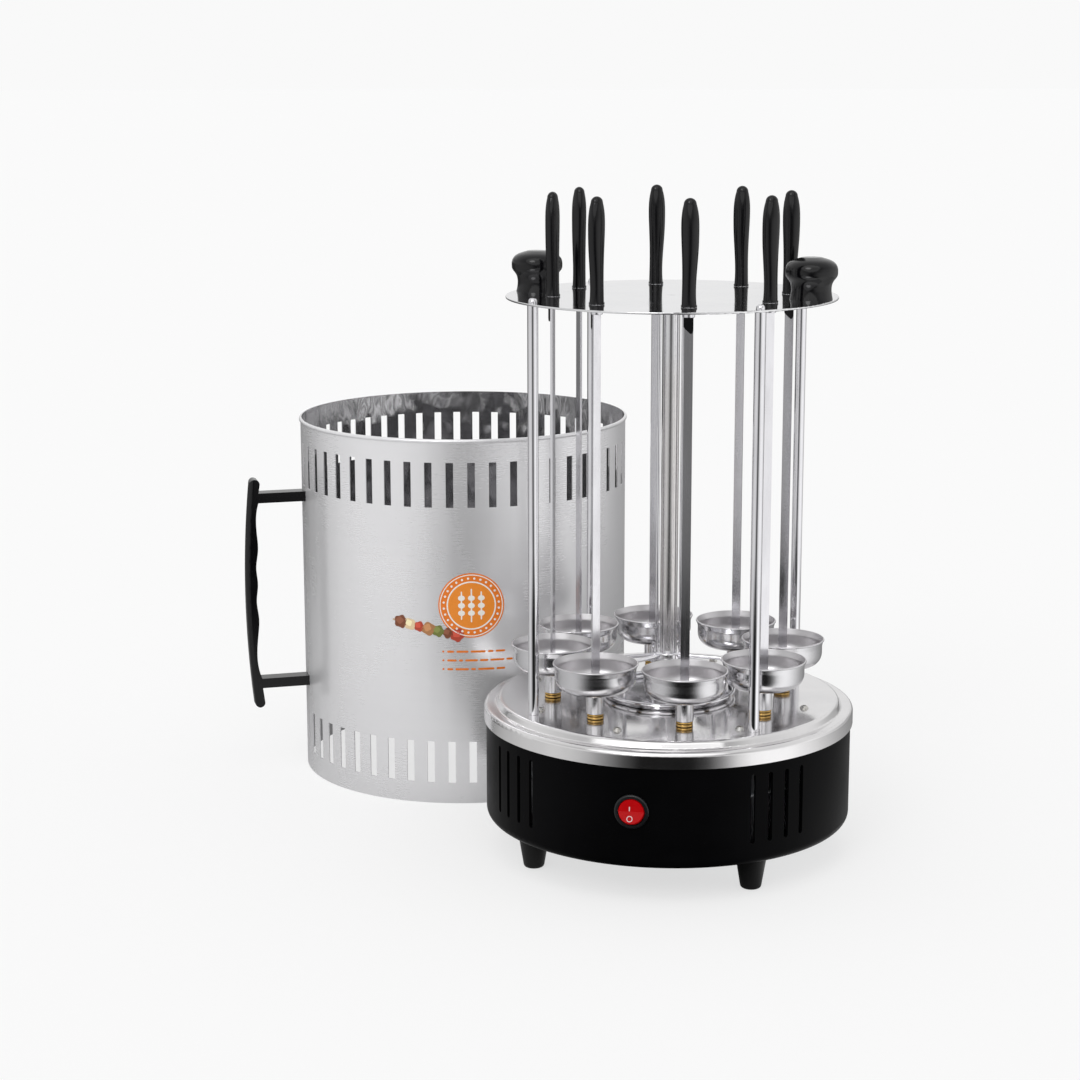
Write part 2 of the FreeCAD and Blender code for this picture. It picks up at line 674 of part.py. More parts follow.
def make_spacers():
    """Tubes on the posts' thin ends: four below the gear deck and four above it."""
    tubes = []
    for low in (DRUM_FLOOR_TOP_Z, DECK_TOP_Z):
        high = low + SPACER_LENGTH
        tubes += [tube(SPACER_RADIUS, POST_ROD_RADIUS + RUNNING, low, high, at) for at in post_places()]
    save("spacers", *tubes)


# ---------------------------------------------------------------- gear train

def make_gear_deck():
    """The sheet plate that carries the hub, the lower bushes and the motor, notched for the switch."""
    low, high = DECK_BOTTOM_Z, DECK_TOP_Z
    cuts = bored(POST_ROD_RADIUS + RUNNING, low, high, post_places())
    cuts += bored(DECK_BUSH_NECK_RADIUS, low, high, station_places())
    cuts += bored(HUB_BORE_RADIUS, low, high, [CENTRE])
    cuts += bored(MOTOR_BOSS_RADIUS + SLIP, low, high, [polar(MOTOR_CIRCLE, MOTOR_ANGLE)])
    cuts += bored(SCREW_RADIUS, low, high, motor_screw_places())
    notch = block(SWITCH_NOTCH, SWITCH_NOTCH, low - 1, high + 1)
    notch_middle = DRUM_RADIUS - SWITCH_DEPTH - SWITCH_NOTCH_GAP + SWITCH_NOTCH / 2
    cuts.append(placed(notch, polar(notch_middle, SWITCH_ANGLE), SWITCH_ANGLE))
    save("gear_deck", rod(DECK_RADIUS, low, high).cut(cuts))


def make_deck_bearings():
    """Eight brass bushes in the deck for the lower ends of the cup shafts."""
    bore = SHAFT_RADIUS + RUNNING
    low, high = DECK_BOTTOM_Z - DECK_BUSH_BELOW, DECK_TOP_Z + DECK_BUSH_HEIGHT
    bush = spin([
        (bore, low), (DECK_BUSH_NECK_RADIUS, low), (DECK_BUSH_NECK_RADIUS, DECK_TOP_Z),
        (DECK_BUSH_RADIUS, DECK_TOP_Z), (DECK_BUSH_RADIUS, high, 0.4), (bore, high),
    ])
    save("deck_bearings", *[placed(bush, at) for at in station_places()])


def make_centre_hub():
    """The fixed hub on which the drive gear turns; the heater's foot stands in its bore."""
    shoulder = DRIVE_GEAR_Z - LOOSE
    save("centre_hub", spin([
        (HUB_BORE_RADIUS, DECK_TOP_Z), (HUB_FLANGE_RADIUS, DECK_TOP_Z, 0.5),
        (HUB_FLANGE_RADIUS, DECK_TOP_Z + HUB_FLANGE, 0.5), (THRUST_RADIUS, DECK_TOP_Z + HUB_FLANGE),
        (THRUST_RADIUS, shoulder, 0.4), (HUB_RADIUS, shoulder), (HUB_RADIUS, PLATE_UNDER_Z),
        (HUB_BORE_RADIUS, PLATE_UNDER_Z),
    ]))


def make_drive_gear():
    """The large gear: full-height teeth on a rim, a web with round windows, and a long hub."""
    low, high = DRIVE_GEAR_Z, DRIVE_GEAR_TOP_Z
    rim_inner = MODULE * DRIVE_TEETH / 2 - DRIVE_GEAR_RIM
    hub_outer = HUB_RADIUS + DRIVE_HUB_WALL
    web_low = low + (DRIVE_GEAR_WIDTH - DRIVE_GEAR_WEB) / 2
    web_high = web_low + DRIVE_GEAR_WEB
    gear = toothed(DRIVE_TEETH, low, high)
    pockets = [tube(rim_inner, hub_outer, web_high, high + 1), tube(rim_inner, hub_outer, low - 1, web_low)]
    window = rod(DRIVE_GEAR_WINDOW, web_low - 1, web_high + 1, polar((rim_inner + hub_outer) / 2, 0))
    gear = gear.cut(pockets + all_round(window, DRIVE_GEAR_WINDOWS))
    gear = gear.fuse(rod(hub_outer, high - 0.5, PLATE_UNDER_Z - 2 * LOOSE))
    save("drive_gear", gear.cut(rod(HUB_RADIUS + RUNNING, low - 1, PLATE_TOP_Z)).removeSplitter())


def motor_screw_places():
    """The motor's two screws, on a line through the grill's axis."""
    return [polar(MOTOR_CIRCLE + side * MOTOR_EAR_HOLE, MOTOR_ANGLE) for side in (-1, 1)]


def make_gear_motor():
    """A flat synchronous gear motor under the deck: can, gearbox lid with two ears, boss and terminals."""
    top = DECK_BOTTOM_Z
    low = top - MOTOR_HEIGHT
    lid = top - MOTOR_LID
    at = polar(MOTOR_CIRCLE, MOTOR_ANGLE)
    can_radius = MOTOR_RADIUS - MOTOR_LID_STEP
    can = spin([
        (0, low), (can_radius, low, 2.0), (can_radius, lid), (MOTOR_RADIUS, lid, 0.4),
        (MOTOR_RADIUS, top, 0.8), (0, top),
    ])
    ears = block(MOTOR_EAR_WIDTH, 2 * MOTOR_EAR_HOLE + MOTOR_EAR_WIDTH, top - MOTOR_EAR, top)
    plug = block(MOTOR_PLUG_DEPTH, MOTOR_PLUG_WIDTH, low + 3, lid - 1.5)
    plug.translate(Vector(-MOTOR_RADIUS, 0, 0))
    body = can.fuse([ears, rod(MOTOR_BOSS_RADIUS, top - 1, DECK_TOP_Z + MOTOR_BOSS), plug])
    body = placed(body, at, MOTOR_ANGLE)
    bore_low = top - MOTOR_SHAFT_IN_CAN - LOOSE
    cuts = [rod(MOTOR_SHAFT_RADIUS + RUNNING, bore_low, DECK_TOP_Z + MOTOR_BOSS + 1, at)]
    cuts += bored(SCREW_RADIUS, top - 2 * MOTOR_EAR, top, motor_screw_places())
    save("gear_motor", body.cut(cuts))


def make_motor_screws():
    """Two screws that hold the motor's ears to the deck from below."""
    low = DECK_BOTTOM_Z - MOTOR_EAR
    places = motor_screw_places()
    save("motor_screws", *[screw(at, low, up=False, length=MOTOR_SCREW_LENGTH) for at in places])


def make_motor_pinion():
    """The motor's output shaft with its small pinion, in mesh with the lower part of the drive gear."""
    at = polar(MOTOR_CIRCLE, MOTOR_ANGLE)
    low, high = DRIVE_GEAR_Z, DRIVE_GEAR_Z + PINION_WIDTH
    pinion = toothed(MOTOR_TEETH, low, high, meshed(MOTOR_TEETH, MOTOR_ANGLE))
    hub = rod(MOTOR_SHAFT_RADIUS + 3, DECK_TOP_Z + MOTOR_BOSS + LOOSE, low)
    shaft = rod(MOTOR_SHAFT_RADIUS, DECK_BOTTOM_Z - MOTOR_SHAFT_IN_CAN, high + 1)
    save("motor_pinion", placed(pinion.fuse([hub, shaft]), at))


def make_pinions():
    """Eight pinions pressed on the cup shafts, each in mesh with the drive gear."""
    low, high = PINION_Z, PINION_Z + PINION_WIDTH
    rim_inner = MODULE * PINION_TEETH / 2 - PINION_RIM
    groove = tube(rim_inner, PINION_HUB_RADIUS + 2, high - PINION_GROOVE, high + 1)
    for number, angle in enumerate(STATION_ANGLES, 1):
        pinion = toothed(PINION_TEETH, low, high, meshed(PINION_TEETH, angle))
        pinion = pinion.cut(groove).fuse(rod(PINION_HUB_RADIUS, high - 0.5, high + PINION_HUB))
        pinion = pinion.cut(rod(SHAFT_RADIUS, low - 1, high + PINION_HUB + 1)).removeSplitter()
        save(f"pinion_{number}", placed(pinion, polar(STATION_RADIUS, angle)))


# ---------------------------------------------------------------- cups and skewers

def make_cups():
    """Eight spun cups with a flared lip, each on its stem and shaft, with a flat socket for the blade."""
    bowl = spun_sheet([
        (0, CUP_FLOOR_Z), (CUP_RADIUS, CUP_FLOOR_Z, CUP_CORNER),
        (CUP_RADIUS, CUP_RIM_Z - CUP_FLARE_HEIGHT, CUP_FLARE_BEND), (CUP_RIM_RADIUS, CUP_RIM_Z),
    ], CUP_WALL)
    bead = ring(CUP_RIM_RADIUS - CUP_WALL / 2, CUP_BEAD, CUP_RIM_Z - CUP_BEAD)
    shaft_low = DECK_BOTTOM_Z - SHAFT_BELOW_DECK
    stem = spin([
        (0, shaft_low), (SHAFT_RADIUS, shaft_low, 0.5), (SHAFT_RADIUS, STEM_BOTTOM_Z),
        (STEM_RADIUS, STEM_BOTTOM_Z, 0.4), (STEM_RADIUS, SOCKET_TOP_Z, 0.5), (0, SOCKET_TOP_Z),
    ])
    cup = bowl.fuse([bead, stem])
    socket = block(BLADE_WIDTH + 2 * LOOSE, BLADE_THICKNESS + 2 * LOOSE, SOCKET_BOTTOM_Z, SOCKET_TOP_Z + 1)
    for number, (angle, turn) in enumerate(zip(STATION_ANGLES, BLADE_TURNS), 1):
        save(f"cup_{number}", placed(cup.cut(placed(socket, CENTRE, turn)), polar(STATION_RADIUS, angle)))


def make_blades():
    """Eight flat pointed blades, each with a ferrule that runs in the disc's hole."""
    half = BLADE_WIDTH / 2
    tip = BLADE_TIP_WIDTH / 2
    blade = extruded(outline([
        (-tip, BLADE_TIP_Z, 0.4), (tip, BLADE_TIP_Z, 0.4), (half, BLADE_TIP_Z + BLADE_POINT),
        (half, BLADE_TOP_Z), (-half, BLADE_TOP_Z), (-half, BLADE_TIP_Z + BLADE_POINT),
    ]), BLADE_THICKNESS)
    ferrule = spin([
        (0, FERRULE_FOOT_Z), (FERRULE_RADIUS, FERRULE_FOOT_Z, 0.5), (FERRULE_RADIUS, GRIP_BASE_Z),
        (0, GRIP_BASE_Z),
    ])
    slot = block(TONGUE_WIDTH, BLADE_THICKNESS + TONGUE_THICKNESS, FERRULE_FOOT_Z - 1, GRIP_BASE_Z + 1)
    slot.translate(Vector(0, -TONGUE_THICKNESS / 2, 0))
    pieces = (blade, ferrule.cut(slot))
    for number, (angle, turn) in enumerate(zip(STATION_ANGLES, BLADE_TURNS), 1):
        save(f"blade_{number}", *[placed(piece, polar(STATION_RADIUS, angle), turn) for piece in pieces])


def grip_body():
    """The grip: a thin oval lip, then a moulded oval that narrows, swells near its top and ends round."""
    lip = Part.Face(Part.Wire(Part.Ellipse(CENTRE, *GRIP_LIP_OVAL).toShape())).extrude(Vector(0, 0, GRIP_LIP))
    sections = []
    for height, half_width, half_depth, shift in GRIP_OVALS:
        oval = Part.Ellipse(Vector(shift, 0, GRIP_LIP + height), half_width, half_depth)
        sections.append(Part.Wire(oval.toShape()))
    crown_z = GRIP_LIP + GRIP_OVALS[-1][0]
    top = Part.makeSphere(GRIP_OVALS[-1][1], CENTRE, UP, 0, 90, 360)
    squash = FreeCAD.Matrix()
    squash.scale(1, GRIP_OVALS[-1][2] / GRIP_OVALS[-1][1], GRIP_CROWN / GRIP_OVALS[-1][1])
    crown = top.transformGeometry(squash)
    crown.translate(Vector(GRIP_OVALS[-1][3], 0, crown_z))
    body = Part.makeLoft(sections, True).fuse([lip, crown])
    body.translate(Vector(0, 0, GRIP_BASE_Z))
    return body


def make_grips():
    """Eight moulded grips, each with a flat tongue that lies on one face of the blade and ends askew."""
    half = TONGUE_WIDTH / 2
    foot = GRIP_BASE_Z - TONGUE_LENGTH
    tongue = extruded(outline([
        (-half, GRIP_BASE_Z + 0.5), (half, GRIP_BASE_Z + 0.5), (half, foot + 2.6, 0.8),
        (half - 1.2, foot, 1.0), (-half, foot + 4.6, 2.4),
    ]), TONGUE_THICKNESS)
    tongue.translate(Vector(0, -(BLADE_THICKNESS + TONGUE_THICKNESS) / 2, 0))
    pocket = block(BLADE_WIDTH, BLADE_THICKNESS, foot - 1, BLADE_TOP_Z)
    grip = grip_body().fuse(tongue).cut(pocket)
    for number, (angle, turn) in enumerate(zip(STATION_ANGLES, BLADE_TURNS), 1):
        save(f"grip_{number}", placed(grip, polar(STATION_RADIUS, angle), turn))


# ---------------------------------------------------------------- top disc

def make_top_disc():
    """The disc that carries the skewers: round holes for the ferrules and posts, and a centre dimple."""
    low, high = DISC_BOTTOM_Z, DISC_TOP_Z
    disc = spin([(0, low), (DISC_RADIUS, low, DISC_EDGE), (DISC_RADIUS, high, DISC_EDGE), (0, high)])
    cuts = bored(DISC_HOLE_RADIUS, low, high, station_places())
    cuts += bored(POST_TIP_RADIUS + LOOSE, low, high, post_places())
    cuts.append(spin([(0, high - DISC_DIMPLE), (DISC_DIMPLE_RADIUS, high), (0, high + 1)]))
    save("top_disc", disc.cut(cuts))


def make_disc_knobs():
    """Two knobs with a waist and a domed head, by which the disc is lifted off with its skewers."""
    side = Part.BSplineCurve()
    places = [Vector(radius, 0, DISC_TOP_Z + height) for radius, height in KNOB_SIDE]
    top = Vector(0, 0, DISC_TOP_Z + KNOB_HEIGHT)
    side.interpolate(Points=places + [top], InitialTangent=Vector(-0.3, 0, 1), FinalTangent=Vector(-1, 0, 0))
    middle = Vector(0, 0, DISC_TOP_Z)
    foot = [Part.LineSegment(top, middle).toShape(), Part.LineSegment(middle, places[0]).toShape()]
    knob = Part.Face(Part.Wire([side.toShape()] + foot)).revolve(CENTRE, UP, 360)
    save("disc_knobs", *[placed(knob, polar(KNOB_CIRCLE, angle)) for angle in (KNOB_ANGLE, KNOB_ANGLE + 180)])


# ---------------------------------------------------------------- heater

def make_heater_tube():
    """The straight tubular heater with a domed end under the disc and two terminals at its foot."""
    body = spin([
        (0, HEATER_FOOT_Z), (HEATER_RADIUS, HEATER_FOOT_Z, 0.5), (HEATER_RADIUS, HEATER_TOP_Z, HEATER_DOME),
        (0, HEATER_TOP_Z),
    ])
    low = HEATER_FOOT_Z - HEATER_PIN
    places = [Vector(side * HEATER_PIN_SPREAD / 2, 0, 0) for side in (-1, 1)]
    pins = [rod(HEATER_PIN_RADIUS, low, HEATER_FOOT_Z + 1, at) for at in places]
    save("heater_tube", body.fuse(pins))


def make_heater_insulator():
    """The ceramic bush that holds the heater in the middle of the plate."""
    low, high = PLATE_TOP_Z - INSULATOR_DEPTH, PLATE_TOP_Z + INSULATOR_FLANGE
    save("heater_insulator", spin([
        (HEATER_RADIUS, low), (INSULATOR_BODY_RADIUS, low, 0.8), (INSULATOR_BODY_RADIUS, PLATE_TOP_Z),
        (INSULATOR_FLANGE_RADIUS, PLATE_TOP_Z), (INSULATOR_FLANGE_RADIUS, high, 1.2), (HEATER_RADIUS, high),
    ]))


def make_drip_dish():
    """The shallow dish round the heater's foot, with a rolled rim."""
    path = [
        (INSULATOR_FLANGE_RADIUS + SLIP, PLATE_TOP_Z), (DISH_RADIUS - 2.2, PLATE_TOP_Z, 2.0),
        (DISH_RADIUS - DISH_BEAD, PLATE_TOP_Z + DISH_HEIGHT - DISH_BEAD),
    ]
    bead = ring(DISH_RADIUS - DISH_BEAD, DISH_BEAD, PLATE_TOP_Z + DISH_HEIGHT - DISH_BEAD)
    save("drip_dish", spun_sheet(path, DISH_SHEET).fuse(bead))


def make_heater_guard():
    """A wire guard round the heater: collar, upright wires, paired arms bent down to a ring in the dish."""
    foot_z = PLATE_TOP_Z + DISH_SHEET + ARM_RADIUS
    top_z = HEATER_TOP_Z - CAGE_TOP_GAP
    bend = ARM_REACH - ARM_BEND
    collar = spin([
        (HEATER_RADIUS + SLIP, ARM_Z - CAGE_COLLAR / 2), (CAGE_RADIUS, ARM_Z - CAGE_COLLAR / 2, 1.2),
        (CAGE_RADIUS, ARM_Z + CAGE_COLLAR / 2, 1.2), (HEATER_RADIUS + SLIP, ARM_Z + CAGE_COLLAR / 2),
    ])
    drop = Part.makeTorus(ARM_BEND, ARM_RADIUS, Vector(bend, 0, ARM_Z - ARM_BEND), Vector(0, 1, 0))
    quarter = Part.makeBox(20, 20, 20, Vector(bend, -10, ARM_Z - ARM_BEND))
    root = CAGE_RADIUS - 1
    level = Part.makeCylinder(ARM_RADIUS, bend - root, Vector(root, 0, ARM_Z), Vector(1, 0, 0))
    leg = Part.makeCylinder(ARM_RADIUS, ARM_Z - ARM_BEND - foot_z, Vector(ARM_REACH, 0, foot_z), UP)
    arm = level.fuse([drop.common(quarter), leg])
    first = ARM_PAIR_ANGLE - 90.0
    arms = all_round(arm, ARM_PAIRS, first - ARM_SPREAD / 2)
    arms += all_round(arm, ARM_PAIRS, first + ARM_SPREAD / 2)
    wires = all_round(rod(CAGE_WIRE, ARM_Z, top_z, Vector(CAGE_RADIUS - CAGE_WIRE, 0, 0)), ARM_PAIRS, first)
    rings = [ring(ARM_REACH, ARM_RADIUS, foot_z), ring(CAGE_RADIUS - CAGE_WIRE, CAGE_WIRE, top_z)]
    save("heater_guard", collar.fuse(arms + wires + rings))


# ---------------------------------------------------------------- electrical pieces

def make_terminal_block():
    """A moulded terminal block on the cover, with three screw wells and wire mouths."""
    length, depth, height = TERMINAL_LENGTH, TERMINAL_DEPTH, TERMINAL_HEIGHT
    low = DRUM_BOTTOM_Z
    step_at = Vector(-length / 2 - 1, -depth / 2 - 1, low + height * 0.7)
    step = Part.makeBox(length + 2, depth / 3, height / 2, step_at)
    pitch = length / TERMINAL_WELLS
    places = [pitch * (i - (TERMINAL_WELLS - 1) / 2) for i in range(TERMINAL_WELLS)]
    cuts = [step]
    for x in places:
        cuts.append(rod(TERMINAL_WELL_RADIUS, low + height / 2, low + height + 1, Vector(x, depth / 12, 0)))
        mouth = Vector(x, -depth / 2 - 1, low + height * 0.35)
        cuts.append(Part.makeCylinder(TERMINAL_MOUTH_RADIUS, depth + 2, mouth, Vector(0, 1, 0)))
    body = block(length, depth, low, low + height).cut(cuts)
    save("terminal_block", placed(body, polar(TERMINAL_RADIUS, TERMINAL_ANGLE), TERMINAL_ANGLE))


def level_pin(radius, overhang):
    """The rocker's pin, or its bore, along X through the pivot."""
    half = ROCKER_RADIUS + overhang
    return Part.makeCylinder(radius, 2 * half, Vector(-half, 0, ROCKER_PIVOT), Vector(1, 0, 0))


def make_switch_housing():
    """The round switch: bezel, body through the wall, pocket for the rocker and two tabs behind."""
    face = SWITCH_FACE + SWITCH_BEZEL
    back = DRUM_RADIUS - SWITCH_DEPTH
    body = spin([
        (0, back), (SWITCH_BODY_RADIUS, back, 0.8), (SWITCH_BODY_RADIUS, SWITCH_FACE),
        (SWITCH_BEZEL_RADIUS, SWITCH_FACE), (SWITCH_BEZEL_RADIUS, face, 1.2), (0, face),
    ])
    tabs = []
    for side in (-1, 1):
        tab = block(SWITCH_TAB_THICKNESS, SWITCH_TAB_WIDTH, back - SWITCH_TAB, back + 1)
        tab.translate(Vector(side * SWITCH_TAB_PITCH / 2, 0, 0))
        tabs.append(tab)
    pocket_floor = ROCKER_PIVOT - ROCKER_RADIUS + 1
    pocket = rod(ROCKER_RADIUS + LOOSE, pocket_floor, face + 1)
    bore = level_pin(ROCKER_PIN_RADIUS + RUNNING, 0.8)
    save("switch_housing", radial(body.fuse(tabs).cut([pocket, bore]), SWITCH_ANGLE, SWITCH_Z))


def make_switch_rocker():
    """The rocker: a ball on a level pin, cut to two faces that meet in a valley; the upper is pressed in."""
    ball = Part.makeSphere(ROCKER_RADIUS, Vector(0, 0, ROCKER_PIVOT))
    reach = ROCKER_RADIUS + 1
    rise = reach * math.tan(math.radians(ROCKER_THROW / 2))
    crest = ROCKER_PIVOT + ROCKER_CREST
    back = ROCKER_PIVOT - ROCKER_DEPTH
    keep = Part.makePolygon([
        Vector(-reach, -reach, back), Vector(-reach, reach, back), Vector(-reach, reach, crest + rise),
        Vector(-reach, 0, crest), Vector(-reach, -reach, crest + rise), Vector(-reach, -reach, back),
    ])
    button = ball.common(Part.Face(keep).extrude(Vector(2 * reach, 0, 0)))
    rocker = button.fuse(level_pin(ROCKER_PIN_RADIUS, 0.6))
    rocker.rotate(Vector(0, 0, ROCKER_PIVOT), Vector(1, 0, 0), -ROCKER_THROW / 2)
    save("switch_rocker", radial(rocker, SWITCH_ANGLE, SWITCH_Z))


# ---------------------------------------------------------------- sleeve

SLEEVE_AT = polar(RIM_RADIUS + SLEEVE_RADIUS + SLEEVE_GAP, SLEEVE_ANGLE)


def handle_arm_heights():
    """The mid-heights of the handle's two arms."""
    return (HANDLE_LOW_Z + HANDLE_ARM_ABOVE_END, HANDLE_HIGH_Z - HANDLE_ARM_BELOW_END)


def rivet_holes():
    """Level holes for the two handle rivets, through the sleeve's wall and into the arms."""
    hole = rod(RIVET_RADIUS, SLEEVE_RADIUS - 3, SLEEVE_RADIUS + RIVET_REACH)
    return [radial(hole, HANDLE_ANGLE, z) for z in handle_arm_heights()]


def make_sleeve():
    """The reflector sleeve: a thin cylinder with a rolled top rim and two rows of upright slots."""
    inner = SLEEVE_RADIUS - SLEEVE_WALL
    wall = tube(SLEEVE_RADIUS, inner, 0, SLEEVE_HEIGHT)
    cuts = []
    for low, height in SLOT_ROWS:
        slot = block(SLOT_WIDTH, 6, low, low + height)
        slot.translate(Vector(0, -SLEEVE_RADIUS, 0))
        cuts += all_round(slot, SLOT_COUNT)
    cuts += rivet_holes()
    bead = ring(SLEEVE_RADIUS - SLEEVE_WALL / 2, SLEEVE_BEAD, SLEEVE_HEIGHT - SLEEVE_BEAD)
    bead = bead.cut(rod(inner, SLEEVE_HEIGHT - 2 * SLEEVE_BEAD - 1, SLEEVE_HEIGHT + 1))
    save("sleeve", placed(wall.cut(Part.makeCompound(cuts)).fuse(bead), SLEEVE_AT))


def bow_radius():
    """The radius of the bow in the grip's outer side."""
    return ((HANDLE_LENGTH / 2) ** 2 + HANDLE_BOW ** 2) / (2 * HANDLE_BOW)


def handle_outline():
    """The handle's side view: bowed outer edge, inner edge with soft finger bumps, two arms to the wall."""
    low, high = HANDLE_LOW_Z, HANDLE_HIGH_Z
    middle = (low + high) / 2
    outer = SLEEVE_RADIUS + HANDLE_REACH
    inner = outer - HANDLE_GRIP
    root = SLEEVE_RADIUS - 2
    arm = HANDLE_ARM / 2
    lower_arm, upper_arm = handle_arm_heights()

    def bow(z):
        """How far the grip stands back from its middle at a height."""
        return bow_radius() - math.sqrt(bow_radius() ** 2 - (z - middle) ** 2)

    def spline(points):
        curve = Part.BSplineCurve()
        curve.interpolate(Points=[Vector(x, 0, z) for x, z in points])
        return curve.toShape()

    def cap(z, side):
        """The round end of the grip."""
        ends = [Vector(x - bow(z), 0, z) for x in (outer, inner)]
        crown = Vector((outer + inner) / 2 - bow(z), 0, z + side * HANDLE_GRIP / 2)
        return Part.Arc(ends[0], crown, ends[1]).toShape()

    count = 2 * FINGER_BUMPS + 1
    top = middle + FINGERS_ABOVE_MIDDLE + FINGER_PITCH * FINGER_BUMPS / 2
    levels = [top - FINGER_PITCH / 2 * i for i in range(count)]
    bumps = [FINGER_BUMP * (i % 2) for i in range(count)]
    waves = [(inner - bow(z) - bump, z) for z, bump in zip(levels, bumps)]
    inner_top, inner_low = upper_arm - arm, lower_arm + arm
    waves = [(inner - bow(inner_top), inner_top)] + waves + [(inner - bow(inner_low), inner_low)]
    above = [
        (inner - bow(high), high), (inner - bow(upper_arm), upper_arm + arm), (root, upper_arm + arm),
        (root, inner_top), waves[0],
    ]
    below = [
        waves[-1], (root, inner_low), (root, lower_arm - arm), (inner - bow(lower_arm), lower_arm - arm),
        (inner - bow(low), low),
    ]
    outer_side = Part.Arc(*[Vector(outer - bow(z), 0, z) for z in (low, middle, high)]).toShape()
    edges = [outer_side, cap(high, 1), spline(waves), cap(low, -1)]
    for chain in (above, below):
        places = [Vector(x, 0, z) for x, z in chain]
        edges += [Part.LineSegment(a, b).toShape() for a, b in zip(places, places[1:])]
    return Part.Wire(Part.__sortEdges__(edges))


def outer_edge_cutters():
    """Two bowed bars that take the grip's long outer edges down to quarter rounds."""
    outer = SLEEVE_RADIUS + HANDLE_REACH
    middle = (HANDLE_LOW_Z + HANDLE_HIGH_Z) / 2
    pivot = Vector(outer - bow_radius(), 0, middle)
    sweep = math.degrees((HANDLE_LENGTH / 2 + HANDLE_GRIP) / bow_radius())
    edge = HANDLE_EDGE
    cutters = []
    for side in (-1, 1):
        face_y = side * HANDLE_THICKNESS / 2
        centre = Vector(outer - edge, face_y - side * edge, middle)
        start, end = centre + Vector(0, side * edge, 0), centre + Vector(edge, 0, 0)
        halfway = centre + Vector(1, side, 0).normalize() * edge
        beyond = [end + Vector(1, 0, 0), Vector(outer + 1, face_y + side, middle), start + Vector(0, side, 0)]
        places = [end] + beyond + [start]
        lines = [Part.LineSegment(a, b).toShape() for a, b in zip(places, places[1:])]
        face = Part.Face(Part.Wire([Part.Arc(start, halfway, end).toShape()] + lines))
        face.rotate(pivot, Vector(0, 1, 0), -sweep)
        cutters.append(face.revolve(pivot, Vector(0, 1, 0), 2 * sweep))
    return cutters


def make_sleeve_handle():
    """The D handle: a bowed grip on two arms that end on the sleeve's wall, with holes for the rivets."""
    handle = extruded(handle_outline(), HANDLE_THICKNESS).cut(outer_edge_cutters())
    handle = placed(handle, CENTRE, HANDLE_ANGLE - 90)
    handle = handle.cut([rod(SLEEVE_RADIUS, 0, SLEEVE_HEIGHT)] + rivet_holes())
    save("sleeve_handle", placed(handle, SLEEVE_AT))


def make_handle_rivets():
    """Two rivets from inside the sleeve into the handle's arms."""
    seat = SLEEVE_RADIUS - SLEEVE_WALL - RUNNING
    end = SLEEVE_RADIUS + RIVET_REACH
    rivet = spin([
        (0, seat - RIVET_HEAD), (RIVET_HEAD_RADIUS * 0.5, seat - RIVET_HEAD), (RIVET_HEAD_RADIUS, seat - 0.6),
        (RIVET_HEAD_RADIUS, seat - 0.1), (RIVET_RADIUS, seat - 0.1), (RIVET_RADIUS, end), (0, end),
    ])
    save("handle_rivets", *[placed(radial(rivet, HANDLE_ANGLE, z), SLEEVE_AT) for z in handle_arm_heights()])


# ---------------------------------------------------------------- build

os.makedirs("parts", exist_ok=True)
for make in (
    make_base_shell, make_cord_inlet, make_bottom_cover, make_feet, make_top_plate, make_plate_screws,
    make_spindle_bushes, make_posts, make_spacers, make_gear_deck, make_deck_bearings, make_centre_hub,
    make_drive_gear, make_gear_motor, make_motor_screws, make_motor_pinion, make_pinions, make_cups,
    make_blades, make_grips, make_top_disc, make_disc_knobs, make_heater_tube, make_heater_insulator,
    make_drip_dish, make_heater_guard, make_terminal_block, make_switch_housing, make_switch_rocker,
    make_sleeve, make_sleeve_handle, make_handle_rivets,
):
    make()
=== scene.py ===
import math

import bmesh
import bpy
from mathutils import Matrix, Vector


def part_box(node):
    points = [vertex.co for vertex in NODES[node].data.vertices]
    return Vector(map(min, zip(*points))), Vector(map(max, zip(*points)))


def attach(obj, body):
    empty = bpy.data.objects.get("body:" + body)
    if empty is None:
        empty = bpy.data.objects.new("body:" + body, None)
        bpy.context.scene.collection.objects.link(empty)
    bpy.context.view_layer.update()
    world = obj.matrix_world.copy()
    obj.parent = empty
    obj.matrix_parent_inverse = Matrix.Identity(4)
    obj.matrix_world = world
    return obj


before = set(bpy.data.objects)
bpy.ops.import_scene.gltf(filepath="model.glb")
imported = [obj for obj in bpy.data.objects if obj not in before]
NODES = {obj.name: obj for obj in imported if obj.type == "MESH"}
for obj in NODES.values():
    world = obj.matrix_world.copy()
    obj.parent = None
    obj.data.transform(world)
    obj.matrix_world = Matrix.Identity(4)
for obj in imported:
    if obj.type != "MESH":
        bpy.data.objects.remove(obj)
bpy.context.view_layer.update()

# ---------------------------------------------------------------- sizes of the model
# Metres, and degrees from the front towards +X.
SKEWERS = 8
FIRST_STATION = 7.6
STATION_RADIUS = 0.080
PLATE_Z = 0.1075
SWITCH_ANGLE = -10.7
SWITCH_BELOW_PLATE = 0.045
ROCKER_THROW = 22.0
ROCKER_CREST = 0.0026          # from the rocker's pivot to the line where its two faces meet
ROCKER_PIVOT_RADIUS = 0.12588  # from the grill's axis to the rocker's pivot
SLEEVE_RADIUS = 0.1245
HEAT_STARTS, HEAT_ENDS = (0.125, 0.18), (0.36, 0.31)  # heights where the heater's hot length fades in and out
CUP_INSIDE, SLEEVE_INSIDE = -0.15, -0.3  # a surface that faces outward by less than this is an inside

